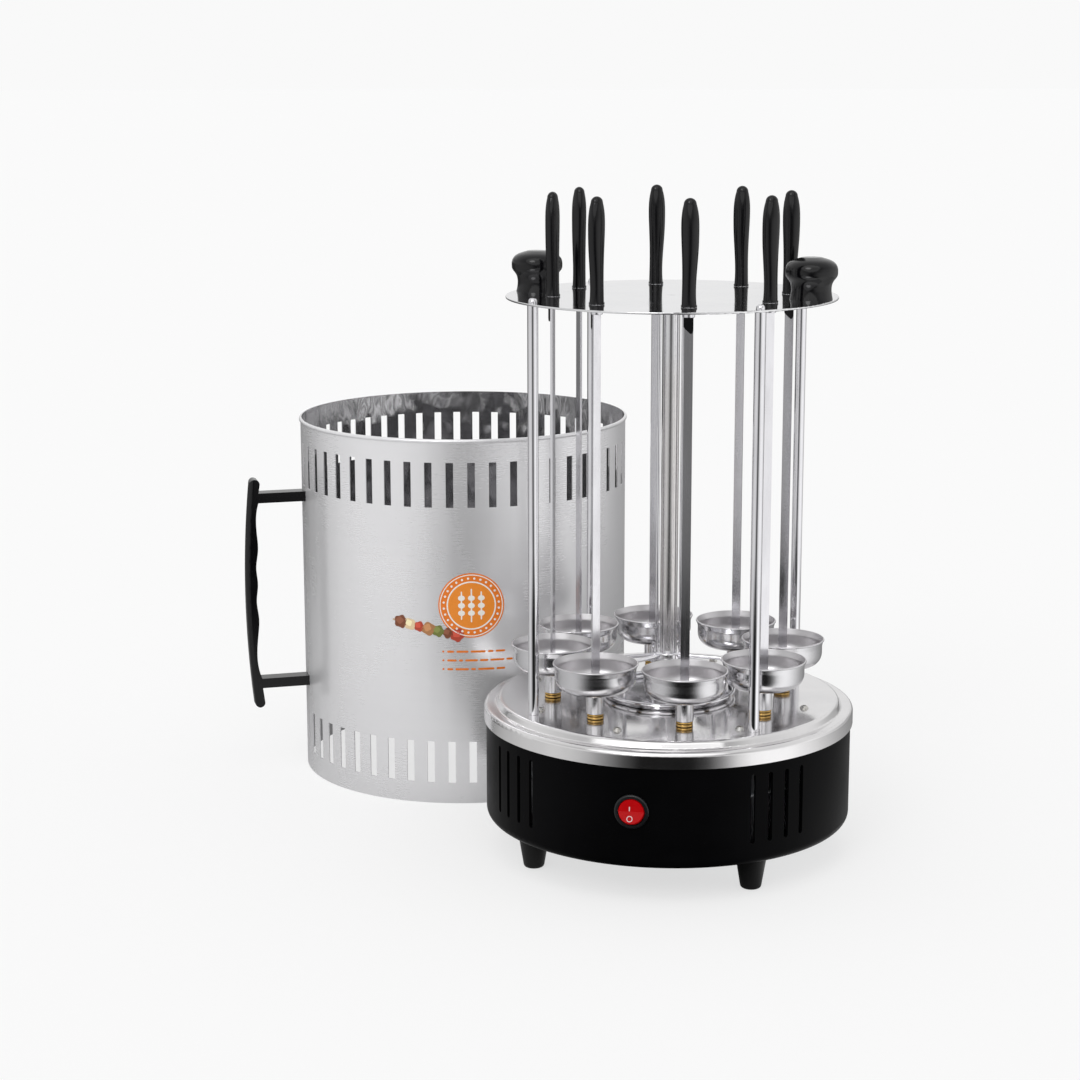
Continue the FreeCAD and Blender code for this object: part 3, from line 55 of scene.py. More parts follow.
# ---------------------------------------------------------------- camera
# As fitted to the drum, the cups and the disc in the photograph.
PHOTO_SIZE = 1080.0
FOCAL_PIXELS = 2338.0
SENSOR = 36.0
CLIP = (0.05, 200.0)
CAMERA_AT = Vector((-0.0102, -1.5696, 0.5395))
YAW, PITCH, ROLL = -0.0499, 0.2033, -0.0018

# ---------------------------------------------------------------- printed marks, in metres
# On the rocker: (across, along the face from the crest), (length, width) and (outer radius, inner radius).
MARK_LIFT, MARK_THICKNESS = 0.00004, 0.00008
BAR_AT, BAR_SIZE = (-0.0010, 0.0018), (0.0030, 0.0007)
RING_AT, RING_RADII, RING_STEPS = (-0.0006, 0.0048), (0.0020, 0.0015), 40

# On the sleeve: places are (distance round it from the side that faces the camera, height).
PRINT_THICKNESS = 0.00006
PRINT_BEND = 0.003  # a printed face is cut this often, so that it follows the sleeve
LAYERS = (0.00012, 0.00020, 0.00028, 0.00034, 0.00040)  # how far each layer of print stands off the sleeve

BADGE_AT = (0.0048, 0.1500)
BADGE_FIELD, BADGE_MIDDLE, BADGE_STEPS = 0.0482, 0.0350, 96
BADGE_RINGS = ((0.0231, 0.0224), (0.0180, 0.0170))
DOTS, DOT_CIRCLE, DOT_SIZE = 28, 0.0202, 0.0017
STICK_SPACING, STICK_LENGTH, STICK_SHORTER, STICK_WIDTH = 0.0072, 0.0250, 0.0040, 0.0010
BEAD_SPACING, BEAD_SIZE, BEAD_STEPS = 0.0056, (0.0050, 0.0040), 24

ROW_START, ROW_TILT = Vector((-0.0500, 0.1370)), -0.20
ROW_STICK_MIDDLE, ROW_STICK_SIZE = 0.0235, (0.0560, 0.0012)
LUMP_FIRST, LUMP_SPACING, LUMP_SIZE, LUMP_SMALLER = 0.0022, 0.0072, 0.0098, 0.0012
LIGHT_OFFSET, LIGHT_SHARE = (-0.0008, 0.0009), 0.55
LUMP_TONES = (("brown", (0.20, 0.060, 0.022)), ("red", (0.46, 0.050, 0.020)), ("green", (0.17, 0.19, 0.035)),
              ("cream", (0.78, 0.60, 0.36)), ("tan", (0.42, 0.19, 0.07)))
LUMP_ORDER = (0, 3, 1, 4, 2, 0, 1)  # places in LUMP_TONES

DASH_ROWS = ((0.0052, 0.0088, 0.0110, 0.0042, 0.0070), (0.0070, 0.0030, 0.0092, 0.0060, 0.0104, 0.0048),
             (0.0044, 0.0098, 0.0036, 0.0120, 0.0064))
DASH_TOP, DASH_LEADING, DASH_LEFT, DASH_GAP, DASH_WIDTH = 0.1155, 0.0066, -0.0132, 0.0016, 0.0015
BULLET_ACROSS = -0.0160

# ---------------------------------------------------------------- stage and light
PAGE_WHITE = 0.947
PALE = 0.80         # the floor's own colour, and the ceiling
FLOOR_SHARE = 0.62  # how much of the floor the camera sees as plain white; the rest is lit, with the shadow
FLOOR_GLOW = 1.045
FLOOR_HALF, FLOOR_DROP = 40.0, 0.0003
FLOOR_BLEND = (0.78, 1.10)  # metres from the axis, where the near bands give way to the far ones
ROOM_BLEND = (0.18, 0.42)   # how steeply a direction rises where the low bands give way to the upper ones
CEILING_BLEND = (0.62, 0.92)
LAMPS = (("key", 1.05, 75.0, (50, 0, -8)), ("glint", 0.45, 22.0, (54, 0, -22)))  # strength, width, turn

# What polished metal sees of the floor and of the room, as pairs of bearing and brightness. The bearing is
# about the grill's axis, in half turns: 0 at the front, positive to the right, 1 and -1 behind.
FLOOR_BANDS = (
    (-1.00, 0.18), (-0.88, 0.20), (-0.74, 0.20), (-0.65, 0.40), (-0.57, 0.55), (-0.46, 0.66), (-0.35, 0.72),
    (-0.28, 0.66), (-0.23, 0.50), (-0.18, 0.27), (-0.13, 0.09), (-0.08, 0.012), (0.07, 0.012), (0.115, 0.06),
    (0.16, 0.30), (0.205, 0.80), (0.25, 1.10), (0.31, 1.24), (0.38, 1.20), (0.45, 1.00), (0.52, 0.76),
    (0.62, 0.50), (0.73, 0.34), (0.86, 0.24), (1.00, 0.18),
)
FAR_BANDS = (
    (-1.00, 0.30), (-0.80, 0.08), (-0.70, 0.12), (-0.60, 0.46), (-0.42, 0.76), (-0.22, 0.80), (-0.12, 0.58),
    (-0.065, 0.20), (-0.03, 0.085), (0.03, 0.095), (0.075, 0.34), (0.14, 0.80), (0.28, 1.08), (0.50, 1.08),
    (0.68, 0.72), (0.84, 0.22), (1.00, 0.30),
)
ROOM_BANDS = (
    (-1.00, 0.88), (-0.90, 0.82), (-0.82, 0.46), (-0.68, 0.50), (-0.50, 0.88), (-0.28, 0.80), (-0.18, 0.50),
    (-0.08, 0.34), (0.07, 0.34), (0.17, 0.50), (0.27, 0.90), (0.55, 1.02), (0.72, 0.58), (0.82, 0.46),
    (0.91, 0.84), (1.00, 0.88),
)
UPPER_BANDS = (
    (-1.00, 0.88), (-0.60, 0.84), (-0.35, 0.58), (-0.18, 0.26), (-0.06, 0.16), (0.06, 0.16), (0.18, 0.30),
    (0.35, 0.74), (0.60, 0.90), (1.00, 0.88),
)


# ---------------------------------------------------------------- helpers

def polar(radius, angle):
    """A point at a radius and an angle from the front towards +X."""
    turn = math.radians(angle)
    return Vector((radius * math.sin(turn), -radius * math.cos(turn), 0.0))


def middle(node):
    """The middle of a node's box."""
    low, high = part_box(node)
    return (low + high) / 2


def numbered(word):
    """The names of the nodes that come once for each skewer."""
    return [f"{word}_{i}" for i in range(1, SKEWERS + 1)]


def opaque(color, tint=(1.0, 1.0, 1.0)):
    """A socket's colour: a colour under a tint, with full alpha."""
    return (*(c * k for c, k in zip(color, tint)), 1.0)


def grey(value):
    """A grey of one brightness."""
    return (value, value, value)


class Tree:
    """A short way to write a node tree."""

    MIX_SOCKETS = {"FLOAT": (2, 3, 0), "VECTOR": (4, 5, 1), "RGBA": (6, 7, 2)}  # two inputs and the output

    def __init__(self, tree):
        self.tree = tree
        tree.nodes.clear()

    def node(self, kind, inputs=None, **props):
        """A node with its properties and inputs set."""
        n = self.tree.nodes.new(kind)
        for key, value in props.items():
            setattr(n, key, value)
        for key, value in (inputs or {}).items():
            self.put(n.inputs[key], value)
        return n

    def put(self, socket, value):
        """Link a socket to another's output, or set its value."""
        if isinstance(value, bpy.types.NodeSocket):
            self.tree.links.new(value, socket)
        else:
            socket.default_value = value

    def math(self, operation, a, b=0.0, c=0.0):
        return self.node("ShaderNodeMath", {0: a, 1: b, 2: c}, operation=operation).outputs[0]

    def vector(self, operation, a, b=(0, 0, 0), result="Vector"):
        return self.node("ShaderNodeVectorMath", {0: a, 1: b}, operation=operation).outputs[result]

    def mix(self, share, a, b, kind="RGBA"):
        """A colour between a and b, or with another kind a number or a direction."""
        first, second, result = self.MIX_SOCKETS[kind]
        return self.node("ShaderNodeMix", {0: share, first: a, second: b}, data_type=kind).outputs[result]

    def mix_shaders(self, share, a, b):
        """A shader node between the nodes a and b."""
        return self.node("ShaderNodeMixShader", {0: share, 1: a.outputs[0], 2: b.outputs[0]})

    def span(self, value, low, high, to_low=0.0, to_high=1.0, smooth=False):
        """The value's place between low and high, as a place between two others."""
        inputs = {"Value": value, "From Min": low, "From Max": high, "To Min": to_low, "To Max": to_high}
        kind = "SMOOTHSTEP" if smooth else "LINEAR"
        return self.node("ShaderNodeMapRange", inputs, interpolation_type=kind).outputs["Result"]

    def noise(self, at, detail, roughness, scale=1.0):
        inputs = {"Vector": at, "Scale": scale, "Detail": detail, "Roughness": roughness}
        return self.node("ShaderNodeTexNoise", inputs).outputs["Fac"]

    def ramp(self, value, stops):
        """The colour at a value, from pairs of place and colour."""
        n = self.node("ShaderNodeValToRGB", {"Fac": value})
        elements = n.color_ramp.elements
        while len(elements) < len(stops):
            elements.new(0.5)
        for element, (place, color) in zip(elements, stops):
            element.position = place
            element.color = opaque(color)
        return n.outputs["Color"]

    def bump(self, height, distance, strength, under=None):
        """The surface's direction with a height pattern on it, over another such pattern if one is given."""
        n = self.node("ShaderNodeBump", {"Height": height, "Distance": distance, "Strength": strength})
        if under is not None:
            self.put(n.inputs["Normal"], under)
        return n.outputs["Normal"]

    def place(self):
        """Where a point is in the shared frame, at rest."""
        return self.node("ShaderNodeTexCoord").outputs["Object"]

    def facing(self):
        """The surface's own direction in the shared frame, at rest."""
        return self.node("ShaderNodeTexCoord").outputs["Normal"]

    def parts(self, vector):
        return self.node("ShaderNodeSeparateXYZ", {"Vector": vector}).outputs

    def join(self, x, y, z):
        return self.node("ShaderNodeCombineXYZ", {"X": x, "Y": y, "Z": z}).outputs["Vector"]

    def scaled(self, vector, x, y, z):
        return self.vector("MULTIPLY", vector, (x, y, z))

    def around(self, vector, centre):
        """A point about an upright axis: radius, angle in turns, height, and level offset from the axis."""
        x, y, z = self.parts(self.vector("SUBTRACT", vector, (centre.x, centre.y, 0.0)))
        flat = self.join(x, y, 0.0)
        radius = self.vector("LENGTH", flat, result="Value")
        angle = self.math("DIVIDE", self.math("ARCTAN2", y, x), 2 * math.pi)
        return radius, angle, z, flat

    def outward(self, flat):
        """How squarely the surface faces away from the axis that a level offset starts at."""
        return self.vector("DOT_PRODUCT", self.facing(), self.vector("NORMALIZE", flat), result="Value")

    def banded(self, x, y, bands):
        """The brightness of a band pattern at the bearing of (x, y)."""
        bearing = self.math("DIVIDE", self.math("ARCTAN2", x, self.math("MULTIPLY", y, -1.0)), math.pi)
        place = self.math("MULTIPLY_ADD", bearing, 0.5, 0.5)
        return self.ramp(place, [((at + 1) / 2, grey(value)) for at, value in bands])


# ---------------------------------------------------------------- materials

def material(name, build, color, metallic, roughness, fixed=None):
    """A material whose varied inputs come from build(tree, shader); the rest are set on the shader itself."""
    mat = bpy.data.materials.new(name)
    mat.use_nodes = True
    t = Tree(mat.node_tree)
    shader = t.node("ShaderNodeBsdfPrincipled", {
        "Base Color": opaque(color), "Metallic": metallic, "Roughness": roughness, **(fixed or {}),
    })
    t.node("ShaderNodeOutputMaterial", {"Surface": shader.outputs["BSDF"]})
    build(t, shader)
    return mat


def put_on(mat, *nodes):
    """Give a material to CAD nodes, by name, or to pieces."""
    for node in nodes:
        obj = NODES[node] if isinstance(node, str) else node
        obj.data.materials.clear()
        obj.data.materials.append(mat)


def spun_steel(name, centre, color=(0.785, 0.78, 0.795), bright=0.10, satin=None, grain=1.0):
    """Steel with fine rings about an axis, faint specks and smears; satin is the roughness inside a cup."""

    def build(t, shader):
        place = t.place()
        radius, angle, z, flat = t.around(place, centre)
        along = t.math("MULTIPLY", t.math("ADD", radius, z), 2600.0)
        rings = t.noise(t.join(along, t.math("MULTIPLY", angle, 3.0), 0.0), detail=2.0, roughness=0.6)
        smears = t.noise(place, scale=26.0, detail=4.0, roughness=0.62)
        specks = t.noise(place, scale=900.0, detail=2.0, roughness=0.7)
        rough = t.math("ADD", t.span(smears, 0.35, 0.72, bright * 0.75, bright * 1.55),
                       t.span(rings, 0.3, 0.7, -0.02, 0.03))
        tone = t.mix(t.span(smears, 0.3, 0.75), opaque(color), opaque(color, (0.92, 0.92, 0.93)))
        if satin is not None:
            upward = t.parts(t.facing())["Z"]
            inner = t.math("LESS_THAN", t.math("SUBTRACT", t.outward(flat), upward), CUP_INSIDE)
            rough = t.mix(inner, rough, t.span(smears, 0.3, 0.7, satin * 0.85, satin * 1.2), kind="FLOAT")
            tone = t.mix(inner, tone, opaque(color, (0.90, 0.89, 0.89)))
        t.put(shader.inputs["Base Color"], tone)
        t.put(shader.inputs["Roughness"], rough)
        t.put(shader.inputs["Normal"], t.bump(rings, 0.00002, 0.16 * grain, t.bump(specks, 0.00001, 0.10)))

    return material(name, build, color, 1.0, bright, {"Anisotropic": 0.35})


def drawn_steel(name, color, bright):
    """Rod, wire or strip steel with drawing lines along its length and faint stains."""

    def build(t, shader):
        place = t.place()
        lines = t.noise(t.scaled(place, 2400.0, 2400.0, 30.0), detail=2.0, roughness=0.6)
        stains = t.noise(t.scaled(place, 60.0, 60.0, 22.0), detail=4.0, roughness=0.6)
        tone = t.mix(t.span(stains, 0.35, 0.75), opaque(color), opaque(color, (0.9, 0.895, 0.90)))
        rough = t.math("ADD", t.span(stains, 0.3, 0.7, bright * 0.7, bright * 1.6),
                       t.span(lines, 0.3, 0.7, -0.02, 0.04))
        t.put(shader.inputs["Base Color"], tone)
        t.put(shader.inputs["Roughness"], rough)
        t.put(shader.inputs["Normal"], t.bump(lines, 0.00001, 0.2))

    return material(name, build, color, 1.0, bright)


def moulded(name, color, rough, grain, specular=0.5, coat=0.0):
    """Moulded plastic, rubber or ceramic with a fine grain, rubbed patches and a little dust tone."""

    def build(t, shader):
        place = t.place()
        rubbed = t.noise(place, scale=40.0, detail=4.0, roughness=0.6)
        fine = t.noise(place, scale=1500.0, detail=2.0, roughness=0.6)
        paler = tuple(min(1.0, c * 1.35 + 0.001) for c in color)
        t.put(shader.inputs["Base Color"], t.mix(t.span(rubbed, 0.4, 0.8), opaque(color), opaque(paler)))
        t.put(shader.inputs["Roughness"], t.span(rubbed, 0.3, 0.75, rough * 0.85, rough * 1.2))
        t.put(shader.inputs["Normal"], t.bump(fine, 0.00002, grain, t.bump(rubbed, 0.0004, 0.05)))

    return material(name, build, color, 0.0, rough, {
        "Coat Weight": coat, "Coat Roughness": 0.08, "Specular IOR Level": specular,
    })


def enamel(name):
    """Black baked enamel: a faint orange peel and slight variation in gloss."""

    def build(t, shader):
        place = t.place()
        peel = t.noise(place, scale=420.0, detail=2.0, roughness=0.5)
        patches = t.noise(place, scale=18.0, detail=3.0, roughness=0.6)
        tone = t.mix(t.span(patches, 0.35, 0.75), (0.0014, 0.0014, 0.0016, 1), (0.0024, 0.0024, 0.0028, 1))
        t.put(shader.inputs["Base Color"], tone)
        t.put(shader.inputs["Roughness"], t.span(patches, 0.3, 0.7, 0.30, 0.40))
        t.put(shader.inputs["Normal"], t.bump(peel, 0.00006, 0.25))

    return material(name, build, (0.002, 0.002, 0.0022), 0.0, 0.35, {"Specular IOR Level": 0.03})


def galvanised(name):
    """Zinc-plated sheet with a soft spangle."""
    color = (0.42, 0.43, 0.44)

    def build(t, shader):
        place = t.place()
        cells = t.node("ShaderNodeTexVoronoi", {"Vector": place, "Scale": 120.0}).outputs["Color"]
        spangle = t.node("ShaderNodeSeparateColor", {"Color": cells}).outputs["Red"]
        stains = t.noise(place, scale=30.0, detail=4.0, roughness=0.6)
        rough = t.math("ADD", t.span(spangle, 0.0, 1.0, 0.30, 0.42), t.span(stains, 0.4, 0.8, 0.0, 0.1))
        t.put(shader.inputs["Base Color"], t.mix(spangle, opaque(color), opaque(color, (0.86, 0.87, 0.89))))
        t.put(shader.inputs["Roughness"], rough)
        t.put(shader.inputs["Normal"], t.bump(stains, 0.0002, 0.1))

    return material(name, build, color, 1.0, 0.38)


def turned(name, color, rough, shaded_groove_spacing=None):
    """Turned metal with close tool rings and a little tarnish; the optional spacing sets bands of painted
    shade in the base colour, where grooves would be shaded.
    """

    def build(t, shader):
        place = t.place()
        rings = t.noise(t.scaled(place, 20.0, 20.0, 5200.0), detail=1.0, roughness=0.5)
        tarnish = t.noise(place, scale=220.0, detail=4.0, roughness=0.65)
        tone = t.mix(t.span(tarnish, 0.42, 0.75), opaque(color), opaque(color, (0.72, 0.66, 0.58)))
        if shaded_groove_spacing is not None:
            # Painted shade: dark bands at the given spacing up the part stand in for the shade inside
            # grooves.
            groove_shade_wave = t.math("SINE", t.math("MULTIPLY", t.parts(place)["Z"], 2 * math.pi / shaded_groove_spacing))
            tone = t.mix(t.span(groove_shade_wave, 0.15, 0.75, smooth=True), tone, opaque(color, (0.10, 0.07, 0.05)))
        t.put(shader.inputs["Base Color"], tone)
        t.put(shader.inputs["Roughness"], t.span(tarnish, 0.3, 0.7, rough * 0.8, rough * 1.4))
        t.put(shader.inputs["Normal"], t.bump(rings, 0.00002, 0.3))

    return material(name, build, color, 1.0, rough)


def heater_sheath(name):
    """The heater's sheath: drawn steel, a little darker and browner along its hot length."""

    def build(t, shader):
        place = t.place()
        z = t.parts(place)["Z"]
        hot = t.math("MULTIPLY", t.span(z, *HEAT_STARTS, smooth=True), t.span(z, *HEAT_ENDS, smooth=True))
        cloud = t.noise(t.scaled(place, 40.0, 40.0, 18.0), detail=4.0, roughness=0.6)
        lines = t.noise(t.scaled(place, 1800.0, 1800.0, 20.0), detail=2.0, roughness=0.6)
        browned = t.math("MULTIPLY", hot, t.span(cloud, 0.3, 0.75, 0.35, 1.0))
        t.put(shader.inputs["Base Color"], t.mix(browned, (0.74, 0.735, 0.75, 1), (0.66, 0.635, 0.62, 1)))
        t.put(shader.inputs["Roughness"], t.span(cloud, 0.3, 0.7, 0.15, 0.24))
        t.put(shader.inputs["Normal"], t.bump(lines, 0.00002, 0.25))

    return material(name, build, (0.55, 0.54, 0.53), 1.0, 0.3)


def sleeve_steel(name, centre):
    """The sleeve: satin outside with a grain round it; bright and slightly rippled inside."""

    def build(t, shader):
        place = t.place()
        _, angle, z, flat = t.around(place, centre)
        inner = t.math("LESS_THAN", t.outward(flat), SLEEVE_INSIDE)
        rolled = t.join(t.math("MULTIPLY", angle, 60.0), t.math("MULTIPLY", z, 3400.0), 0.0)
        grain = t.noise(rolled, detail=2.0, roughness=0.65)
        rows = t.join(t.math("MULTIPLY", angle, 5.0), t.math("MULTIPLY", z, 150.0), 3.0)
        bands = t.noise(rows, detail=3.0, roughness=0.6)
        clouds = t.noise(t.scaled(place, 9.0, 9.0, 5.0), detail=4.0, roughness=0.6)
        ripples = t.noise(t.scaled(place, 27.0, 27.0, 17.0), detail=2.0, roughness=0.5)
        tone = t.mix(t.span(bands, 0.35, 0.7), (0.84, 0.836, 0.85, 1), (0.828, 0.824, 0.838, 1))
        satin = t.math("ADD", t.span(clouds, 0.3, 0.7, 0.24, 0.30), t.span(grain, 0.3, 0.7, -0.006, 0.008))
        t.put(shader.inputs["Base Color"], t.mix(inner, tone, (0.74, 0.735, 0.75, 1)))
        t.put(shader.inputs["Metallic"], t.mix(inner, 0.54, 0.97, kind="FLOAT"))
        t.put(shader.inputs["Roughness"], t.mix(inner, satin, 0.09, kind="FLOAT"))
        t.put(shader.inputs["Normal"],
              t.mix(inner, t.bump(grain, 0.000005, 0.03), t.bump(ripples, 0.007, 0.62), kind="VECTOR"))

    return material(name, build, (0.78, 0.775, 0.79), 0.62, 0.3, {"Anisotropic": 0.4})


def deep_red(name):
    """Deep red moulding of the rocker, its depth a little uneven."""

    def build(t, shader):
        depth = t.noise(t.place(), scale=160.0, detail=2.0, roughness=0.5)
        t.put(shader.inputs["Base Color"], t.mix(depth, (0.36, 0.0014, 0.0028, 1), (0.45, 0.0024, 0.0042, 1)))
        t.put(shader.inputs["Roughness"], t.span(depth, 0.3, 0.7, 0.16, 0.26))

    return material(name, build, (0.41, 0.002, 0.0035), 0.0, 0.2, {"Specular IOR Level": 0.06})


def printed(name, color):
    """Matt printing ink with a slight mottle."""

    def build(t, shader):
        mottle = t.noise(t.place(), scale=700.0, detail=3.0, roughness=0.6)
        tone = t.mix(t.span(mottle, 0.3, 0.75), opaque(color), opaque(color, grey(0.94)))
        t.put(shader.inputs["Base Color"], tone)
        t.put(shader.inputs["Roughness"], t.span(mottle, 0.3, 0.7, 0.38, 0.5))

    return material(name, build, color, 0.0, 0.45)


def dress_nodes():
    """Every CAD node gets its finish."""
    axis = Vector((0, 0, 0))
    put_on(enamel("black_enamel"), "base_shell")
    put_on(spun_steel("plate_steel", axis, color=(0.80, 0.79, 0.79), bright=0.11, grain=1.6), "top_plate")
    put_on(spun_steel("disc_steel", axis, color=(0.82, 0.82, 0.83), bright=0.07, grain=0.6), "top_disc")
    put_on(spun_steel("dish_steel", axis, color=(0.77, 0.765, 0.785)), "drip_dish")
    for i, cup in enumerate(numbered("cup")):
        centre = polar(STATION_RADIUS, FIRST_STATION + 360.0 / SKEWERS * i)
        put_on(spun_steel(f"cup_steel_{i + 1}", centre, (0.71, 0.705, 0.718), bright=0.17, satin=0.32), cup)
    put_on(drawn_steel("rod_steel", (0.81, 0.805, 0.83), bright=0.07), "posts", "heater_guard")
    put_on(drawn_steel("blade_steel", (0.79, 0.785, 0.81), bright=0.12), *numbered("blade"))
    put_on(heater_sheath("heater_sheath"), "heater_tube")
    put_on(sleeve_steel("sleeve_steel", middle("sleeve")), "sleeve")

    black = moulded("black_moulding", (0.0022, 0.0021, 0.0028), rough=0.15, grain=0.10, specular=0.36)
    put_on(black, "disc_knobs", "sleeve_handle", *numbered("grip"))
    housing = moulded("black_switch", (0.007, 0.007, 0.008), rough=0.28, grain=0.15, specular=0.4)
    put_on(housing, "switch_housing")
    put_on(moulded("black_inlet", (0.008, 0.008, 0.009), rough=0.5, grain=0.3, specular=0.3), "cord_inlet")
    put_on(moulded("foot_rubber", (0.004, 0.004, 0.004), rough=0.5, grain=0.5, specular=0.2), "feet")
    put_on(deep_red("rocker_red"), "switch_rocker")

    # The brass bushes get bands of painted groove shade at this spacing.
    brass = turned("bush_brass", (0.70, 0.47, 0.17), rough=0.20, shaded_groove_spacing=0.0021)
    put_on(brass, "spindle_bushes", "deck_bearings")
    put_on(galvanised("zinc_sheet"), "bottom_cover", "gear_deck", "gear_motor", "spacers")
    put_on(turned("hub_aluminium", (0.74, 0.74, 0.75), rough=0.32), "centre_hub")
    plated = turned("plated_screw", (0.66, 0.66, 0.64), rough=0.25)
    put_on(plated, "plate_screws", "motor_screws", "handle_rivets", "motor_pinion")
    nylon = moulded("nylon", (0.82, 0.80, 0.74), rough=0.42, grain=0.3)
    put_on(nylon, "drive_gear", *numbered("pinion"))
    put_on(moulded("ceramic", (0.80, 0.77, 0.70), rough=0.2, grain=0.1, coat=0.5), "heater_insulator")
    put_on(moulded("ivory_moulding", (0.72, 0.70, 0.62), rough=0.45, grain=0.3), "terminal_block")


# ---------------------------------------------------------------- flat outlines

def once_round(count, shift=0.0):
    """Equal angles once round, the first at a share of a step."""
    return [2 * math.pi * (i + shift) / count for i in range(count)]


def oval(u, v, wide, high, count):
    """Points round an oval, anticlockwise."""
    return [(u + wide / 2 * math.cos(a), v + high / 2 * math.sin(a)) for a in once_round(count)]


def dot(u, v, size, count=16):
    """Points round a circle."""
    return oval(u, v, size, size, count)


def pill(u, v, long, wide, turn=0.0):
    """A bar with round ends, its middle at (u, v)."""
    half = (long - wide) / 2
    points = []
    for a in once_round(24, shift=0.5):
        x = wide / 2 * math.cos(a) + (half if math.cos(a) > 0 else -half)
        y = wide / 2 * math.sin(a)
        points.append((u + x * math.cos(turn) - y * math.sin(turn),
                       v + x * math.sin(turn) + y * math.cos(turn)))
    return points


def lump(u, v, size, turn, sides):
    """A soft-cornered lump with a few sides."""
    corners, uneven = 0.10, 0.03
    points = []
    for a in once_round(40):
        r = size / 2 * (1.0 + corners * math.cos(sides * a) + uneven * math.cos(2 * a + turn * 5))
        points.append((u + r * math.cos(a + turn), v + r * math.sin(a + turn)))
    return points


def annulus(u, v, outer, inner, count):
    """The quads of a flat ring."""
    a, b = dot(u, v, 2 * outer, count), dot(u, v, 2 * inner, count)
    return [[b[i], a[i], a[(i + 1) % count], b[(i + 1) % count]] for i in range(count)]


# ---------------------------------------------------------------- thin printed pieces

def printed_mesh(name, faces, place, step=None):
    """A thin mesh of flat faces, cut at every step so that it can bend, and put in place point by point."""
    weld = 1e-7
    bm = bmesh.new()
    for face in faces:
        bm.faces.new([bm.verts.new((u, v, 0.0)) for u, v in face])
    bmesh.ops.remove_doubles(bm, verts=bm.verts, dist=weld)
    if step:
        us = [vert.co.x for vert in bm.verts]
        cut = math.ceil(min(us) / step) * step
        while cut < max(us):
            bmesh.ops.bisect_plane(bm, geom=bm.verts[:] + bm.edges[:] + bm.faces[:], dist=weld,
                                   plane_co=(cut, 0, 0), plane_no=(1, 0, 0))
            cut += step
    for vert in bm.verts:
        vert.co = place(vert.co.x, vert.co.y)
    mesh = bpy.data.meshes.new(name)
    bm.to_mesh(mesh)
    bm.free()
    return mesh


def new_piece(name, mesh, body, mat, depth):
    """A thin piece of some depth, which rides on a body and takes the given finish."""
    obj = bpy.data.objects.new(name, mesh)
    bpy.context.scene.collection.objects.link(obj)
    put_on(mat, obj)
    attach(obj, body)
    solid = obj.modifiers.new("thickness", "SOLIDIFY")
    solid.thickness = depth
    solid.offset = 1.0
    return obj


def on_rocker(lower):
    """A place on one of the rocker's two faces: across, and along the face from the crest between them."""
    lean = math.radians(ROCKER_THROW / 2)
    slope = math.radians(ROCKER_THROW) if lower else 0.0
    crest = Vector((0.0, ROCKER_CREST * math.sin(lean), ROCKER_CREST * math.cos(lean)))
    run = Vector((0, -math.cos(slope), math.sin(slope))) if lower else Vector((0, 1, 0))
    out = Vector((0, math.sin(slope), math.cos(slope)))

    def place(across, along):
        p = crest + run * along + out * MARK_LIFT
        spot = Vector((across, -(ROCKER_PIVOT_RADIUS + p.z), p.y))
        spot.rotate(Matrix.Rotation(math.radians(SWITCH_ANGLE), 3, "Z"))
        return spot + Vector((0, 0, PLATE_Z - SWITCH_BELOW_PLATE))

    return place


def make_rocker_marks():
    """The two plain on and off marks of a rocker, a bar above and a ring below."""
    white = printed("mark_white", (0.66, 0.53, 0.53))
    marks = (("mark_bar", [pill(*BAR_AT, *BAR_SIZE, math.pi / 2)], False),
             ("mark_ring", annulus(*RING_AT, *RING_RADII, RING_STEPS), True))
    for name, faces, lower in marks:
        mesh = printed_mesh(name, faces, on_rocker(lower))
        new_piece(name, mesh, "rocker", white, MARK_THICKNESS)


def on_sleeve(lift):
    """A place on the sleeve's outside: the way round from the side that faces the camera, and the height."""
    centre = middle("sleeve")
    facing = math.atan2(CAMERA_AT.x - centre.x, centre.y - CAMERA_AT.y)

    def place(u, v):
        angle = facing + u / SLEEVE_RADIUS
        radius = SLEEVE_RADIUS + lift
        return Vector((centre.x + radius * math.sin(angle), centre.y - radius * math.cos(angle), v))

    return place


def print_on_sleeve(name, faces, mat, layer):
    """A printed piece on the sleeve, kept out of mirror images as in the photograph."""
    mesh = printed_mesh(name, faces, on_sleeve(LAYERS[layer]), PRINT_BEND)
    piece = new_piece(name, mesh, "sleeve", mat, PRINT_THICKNESS)
    piece.visible_glossy = False


def make_badge(orange):
    """A plain round badge with a ring of dots and three beaded sticks."""
    amber = printed("print_amber", (0.88, 0.27, 0.018))
    white = printed("print_white", (0.92, 0.88, 0.82))
    u, v = BADGE_AT
    rings = [quad for outer, inner in BADGE_RINGS for quad in annulus(u, v, outer, inner, BADGE_STEPS)]
    dots = [dot(u + DOT_CIRCLE * math.cos(a), v + DOT_CIRCLE * math.sin(a), DOT_SIZE)
            for a in once_round(DOTS, shift=0.5)]
    three = (-1, 0, 1)
    sticks = [pill(u + STICK_SPACING * i, v, STICK_LENGTH - STICK_SHORTER * abs(i), STICK_WIDTH, math.pi / 2)
              for i in three]
    beads = [oval(u + STICK_SPACING * i, v + BEAD_SPACING * k, *BEAD_SIZE, BEAD_STEPS)
             for i in three for k in three]
    print_on_sleeve("badge_field", [dot(u, v, BADGE_FIELD, BADGE_STEPS)], orange, 0)
    print_on_sleeve("badge_middle", [dot(u, v, BADGE_MIDDLE, BADGE_STEPS)], amber, 1)
    print_on_sleeve("badge_rings", rings, white, 2)
    print_on_sleeve("badge_dots", dots, white, 2)
    print_on_sleeve("badge_sticks", sticks, white, 3)
    print_on_sleeve("badge_beads", beads, white, 4)


